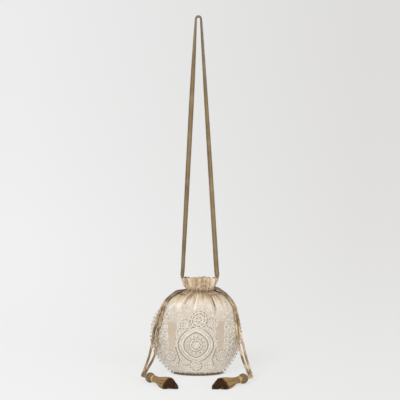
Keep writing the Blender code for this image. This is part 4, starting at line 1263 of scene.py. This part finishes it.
def medallion(work):
    work.scroll(medallionMiddle, 0.0074, 2.2, 1.0, 0.4, 0.00165, 0.10)
    work.ring(medallionMiddle, 0.0118, 0.0020, 9, 0.03)
    work.dashes(medallionMiddle, 0.0094, 7, 0.0009, 0.7)
    work.flower(medallionMiddle, 0.0158, 0.0218, 13, 0.0022, 0.10)
    work.dashes(medallionMiddle, 0.0143, 16, 0.0010, 0.62)
    work.dashes(medallionMiddle, 0.0188, 13, 0.0014, 0.36, 0.10)


def pointedFrame(work):
    # two pointed ovals of light cord about the medallion, and a thin dark one inside and outside them as painted shade
    turn = np.linspace(0.0, 2.0 * math.pi, 96, endpoint=False)
    for across, up, width, power, dark in (
            (0.0300, 0.0322, 0.0029, 1.50, 0.0), (0.0350, 0.0376, 0.0017, 1.45, 0.0),
            (0.0262, 0.0282, 0.00075, 1.50, 1.0), (0.0388, 0.0414, 0.00075, 1.45, 1.0)):
        s = medallionMiddle[0] + across * np.sign(np.sin(turn)) * np.abs(np.sin(turn)) ** power
        work.stroke(np.stack([s, medallionMiddle[1] + up * np.cos(turn)], axis=-1), width, True, dark=dark)


def vase(work):
    # a scalloped outline from the lower scrolls to the shoulders, flared at its foot, with a thin dark line
    # of painted shade, and light pearls beside it
    def draw(side):
        line = curveThrough([(0.0400, 0.0165), (0.0345, 0.0275), (0.0318, 0.0385), (0.0362, 0.0530),
                             (0.0412, 0.0710), (0.0400, 0.0890), (0.0335, 0.1020), (0.0280, 0.1090)])
        lengths = runLengths(line)
        normal = np.gradient(line, axis=0)
        normal = np.stack([normal[:, 1], -normal[:, 0]], axis=-1)
        normal /= np.linalg.norm(normal, axis=1)[:, None]
        scallop = 0.0085
        waves = 0.0016 * np.abs(np.sin(math.pi * lengths / scallop))
        for away, width, dark in ((0.0, stitch["cord"], 0.0), (0.0036, 0.00070, 1.0)):
            shaped = line + normal * (away + waves)[:, None]
            work.stroke(shaped * (side, 1.0), width, dark=dark)
        for goal in np.arange(0.006, lengths[-1], scallop):
            k = int(np.argmin(np.abs(lengths - goal)))
            work.pearl((line[k] + normal[k] * 0.0070) * (side, 1.0), stitch["pearl"])
    work.both(draw)


def roundel(work):
    middle = (0.005, 0.1285)
    work.ring(middle, 0.0158, 0.0018)
    work.dashes(middle, 0.0134, 9, 0.0011, 0.7)
    work.dashes(middle, 0.0182, 14, 0.0009, 0.6)
    work.dashes(middle, 0.0056, 5, 0.0009, 0.6)
    work.flower(middle, 0.0066, 0.0122, 7, 0.0019, 0.45)
    work.pearl(middle, 0.0026)
    work.pearlRing(middle, 0.0208, 16, stitch["pearl"])


def sideScrolls(work):
    for middle, hand in (((-0.024, 0.1190), 1.0), ((0.033, 0.1210), -1.0)):
        work.dashes(middle, 0.0103, 8, 0.0009, 0.7)
        work.dashes(middle, 0.0053, 4, 0.0008, 0.7)
        outer = work.scroll(middle, 0.0082, 1.5, hand, -hand * 2.2, 0.00145)
        tail = [(middle[0] - hand * 0.010, middle[1] - 0.008), (middle[0] - hand * 0.017, middle[1] - 0.004)]
        work.stroke(curveThrough([outer] + tail), stitch["fine"], taper=0.5)
        for k in range(3):
            turn = -hand * (0.5 + 0.55 * k)
            work.leaf(onCircle(middle, 0.0098, turn), onCircle(middle, 0.0168, turn - hand * 0.2), 0.0016, 0.1 * hand)
    # three leaves and two curls between the roundel and the pointed frame
    for turn in (-0.9, 0.0, 0.9):
        base = (-0.001 + 0.001 * math.sin(turn), 0.1035)
        work.leaf(base, onCircle(base, 0.0078, turn), 0.0017, 0.12 * turn)
    work.both(lambda side: work.scroll((-0.001 + side * 0.0125, 0.1095), 0.0040, 1.1, -side, side * 2.6, 0.0010))


def lowerFlower(work):
    middle = (-0.001, 0.0252)
    work.ring(middle, 0.0100, stitch["cord"], 8, 0.05)
    work.flower(middle, 0.0030, 0.0070, 6, 0.0013)
    work.pearl(middle, 0.0020)
    work.dashes(middle, 0.0127, 12, 0.0009, 0.65)
    work.pearlRing(middle, 0.0150, 14, stitch["pearl"])

    def draw(side):
        spot = (side * 0.0225, 0.0285)
        outer = work.scroll(spot, 0.0072, 1.4, -side, side * 3.9, 0.00155)
        work.dashes(spot, 0.0050, 4, 0.0008, 0.7)
        work.stroke(curveThrough([outer, (side * 0.024, 0.0185), (side * 0.034, 0.0150), (side * 0.047, 0.0225)]),
                    stitch["cord"], taper=0.6)
        for base, tip in (((0.031, 0.0172), (0.036, 0.0105)), ((0.036, 0.0168), (0.043, 0.0125)),
                          ((0.041, 0.0190), (0.0425, 0.0270)), ((0.046, 0.0218), (0.0515, 0.0285))):
            work.leaf((side * base[0], base[1]), (side * tip[0], tip[1]), 0.0016, side * 0.15)
    work.both(draw)


def sideRosettes(work):

    def draw(side):
        middle = (side * 0.0575, 0.0450)
        work.ring(middle, 0.0105, stitch["cord"], 9, 0.05)
        work.flower(middle, 0.0036, 0.0076, 7, 0.0013)
        work.pearl(middle, 0.0022)
        work.dashes(middle, 0.0131, 11, 0.0009, 0.7)
        work.stroke(curveThrough([(side * 0.0500, 0.0375), (side * 0.0470, 0.0440), (side * 0.0465, 0.0540)]),
                    stitch["fine"], taper=0.6)
        stem = curveThrough([(side * 0.0600, 0.0335), (side * 0.0580, 0.0250), (side * 0.0500, 0.0170),
                             (side * 0.0400, 0.0125)])
        work.stroke(stem, stitch["cord"], taper=0.5)
        for k in range(5, len(stem) - 3, 6):
            for hand in (-1.0, 1.0):
                work.leaf(stem[k], stem[k] + awayFrom(stem, k, hand, 0.5, 0.86) * 0.0062, 0.0014, 0.12 * hand)
    work.both(draw)


def trails(work):
    # leafy stems wave up the sides of the panel
    for middle, low, high, swing, phase in ((0.0745, 0.034, 0.146, 0.0040, 0.0), (0.0930, 0.040, 0.136, 0.0032, 2.0)):
        z = np.linspace(low, high, 80)
        lean = np.minimum(1.0, work.map.reach(z) / float(work.map.reach(0.085)) * 1.04)
        away = middle * lean + swing * np.sin(2.0 * math.pi * (z - low) / 0.026 + phase)
        for side in (-1.0, 1.0):
            stem = np.stack([side * away, z], axis=-1)
            work.stroke(stem, stitch["fine"] * 1.15)
            for k in range(3, 76, 5):
                hand = 1.0 if (k // 5) % 2 else -1.0
                out = awayFrom(stem, k, hand, 0.55, 0.83)
                work.leaf(stem[k], stem[k] + out * 0.0078, 0.0019, 0.14 * hand)
                # the dark pearls beside the leaves are painted shade
                work.pearl(stem[k] - out * 0.0034, stitch["pearl"] * 0.8, 1.0)


def bandEdges(work):
    # a line of cord on either side of each plain satin band
    def draw(side):
        for which, away in ((0, -1.0), (1, 1.0)):
            z = np.linspace(0.056, 0.121, 36)
            s = plainBand(z)[which] + away * 0.0018
            work.stroke(np.stack([side * s, z], axis=-1), stitch["fine"])
            for k in range(2, 34, 3):
                # inside, the leaves leave room for the pointed frame
                if away > 0.0 or abs(z[k] - 0.073) > 0.017:
                    work.leaf((side * (s[k] + away * 0.0016), z[k]), (side * (s[k] + away * 0.0060), z[k] + 0.0036),
                              0.0013, 0.1 * side)
    work.both(draw)


def sprigs(work):
    # upright sprigs follow the pleats towards the neck
    for k, share in enumerate((-0.80, -0.60, -0.42, -0.26, 0.0, 0.22, 0.36, 0.55, 0.76)):
        low = 0.146 if abs(share) < 0.3 else 0.132
        top = 0.153 if k % 2 else 0.157
        z = np.linspace(low, top, 16)
        s = share * work.map.reach(z) + 0.0008 * np.sin(z * 400.0 + k)
        stem = np.stack([s, z], axis=-1)
        work.stroke(stem, stitch["fine"], taper=0.3)
        for i in range(2, 15, 6):
            for hand in (-1.0, 1.0):
                work.leaf(stem[i], (stem[i][0] + hand * 0.0042, stem[i][1] + 0.0042), 0.0013, 0.12 * hand)
        work.pearl((s[-1], z[-1] + 0.0016), stitch["pearl"] * 1.2)


def hemBorder(work):
    # scallops along the bottom, with a leaf standing in each one but the middle ones
    limit, pitch = 0.052, 0.0105
    s = np.linspace(-limit, limit, 120)
    z = 0.0078 + 0.0026 * np.abs(np.sin(math.pi * s / pitch)) + 0.006 * (np.abs(s) / limit) ** 4
    work.stroke(np.stack([s, z], axis=-1), stitch["cord"])
    for middle in np.arange(-0.0473, 0.048, pitch):
        if abs(middle) > 0.016:
            z = 0.0118 + 0.006 * (abs(middle) / limit) ** 4
            work.leaf((middle, z), (middle, z + 0.0048), 0.0014)


look = Look("silverThread", 0.34, Sheen_Weight=0.3, Sheen_Roughness=0.35)
tone = look.ramp(look.noise(120.0), (0.3, 194, 186, 174), (0.5, 206, 198, 187), (0.7, 218, 211, 201))
strand = look.sine(look.times(look.attribute("along"), 2.0 * math.pi / stitch["strand"]))
rough = look.bump(look.noise(1400.0, 2.0), 0.0002, 0.4)
# strokes and pearls marked dark are painted shade
silverThread = look.use(Base_Color=look.mix(look.attribute("dark"), tone, (132, 117, 98)),
                        Normal=look.bump(strand, 0.00018, 0.6, rough))

for front, word in ((True, "front"), (False, "back")):
    rng = np.random.default_rng(stitch["seed0"] + front)
    work = Needlework(front)
    for draw in (medallion, pointedFrame, vase, roundel, sideScrolls, lowerFlower, sideRosettes, trails, bandEdges,
                 sprigs, hemBorder):
        draw(work)
    work.seeds(rng)
    strokes, pearls = work.make("embroidery_" + word)
    replaced = [part + "_" + word for part in ("medallion", "pointed_frame", "roundel", "roundel_bud", "base_flower")]
    finish(strokes, silverThread, "embroidery", *replaced)
    finish(pearls, silverThread, "embroidery", *replaced)
    # each panel is cut straight-sided above and round below, then drawn in at the neck by the cords
    print("embroidered:", word, len(work.lines), "strokes", len(work.pearls), "pearls",
          len(strokes.data.polygons), len(pearls.data.polygons), "faces")
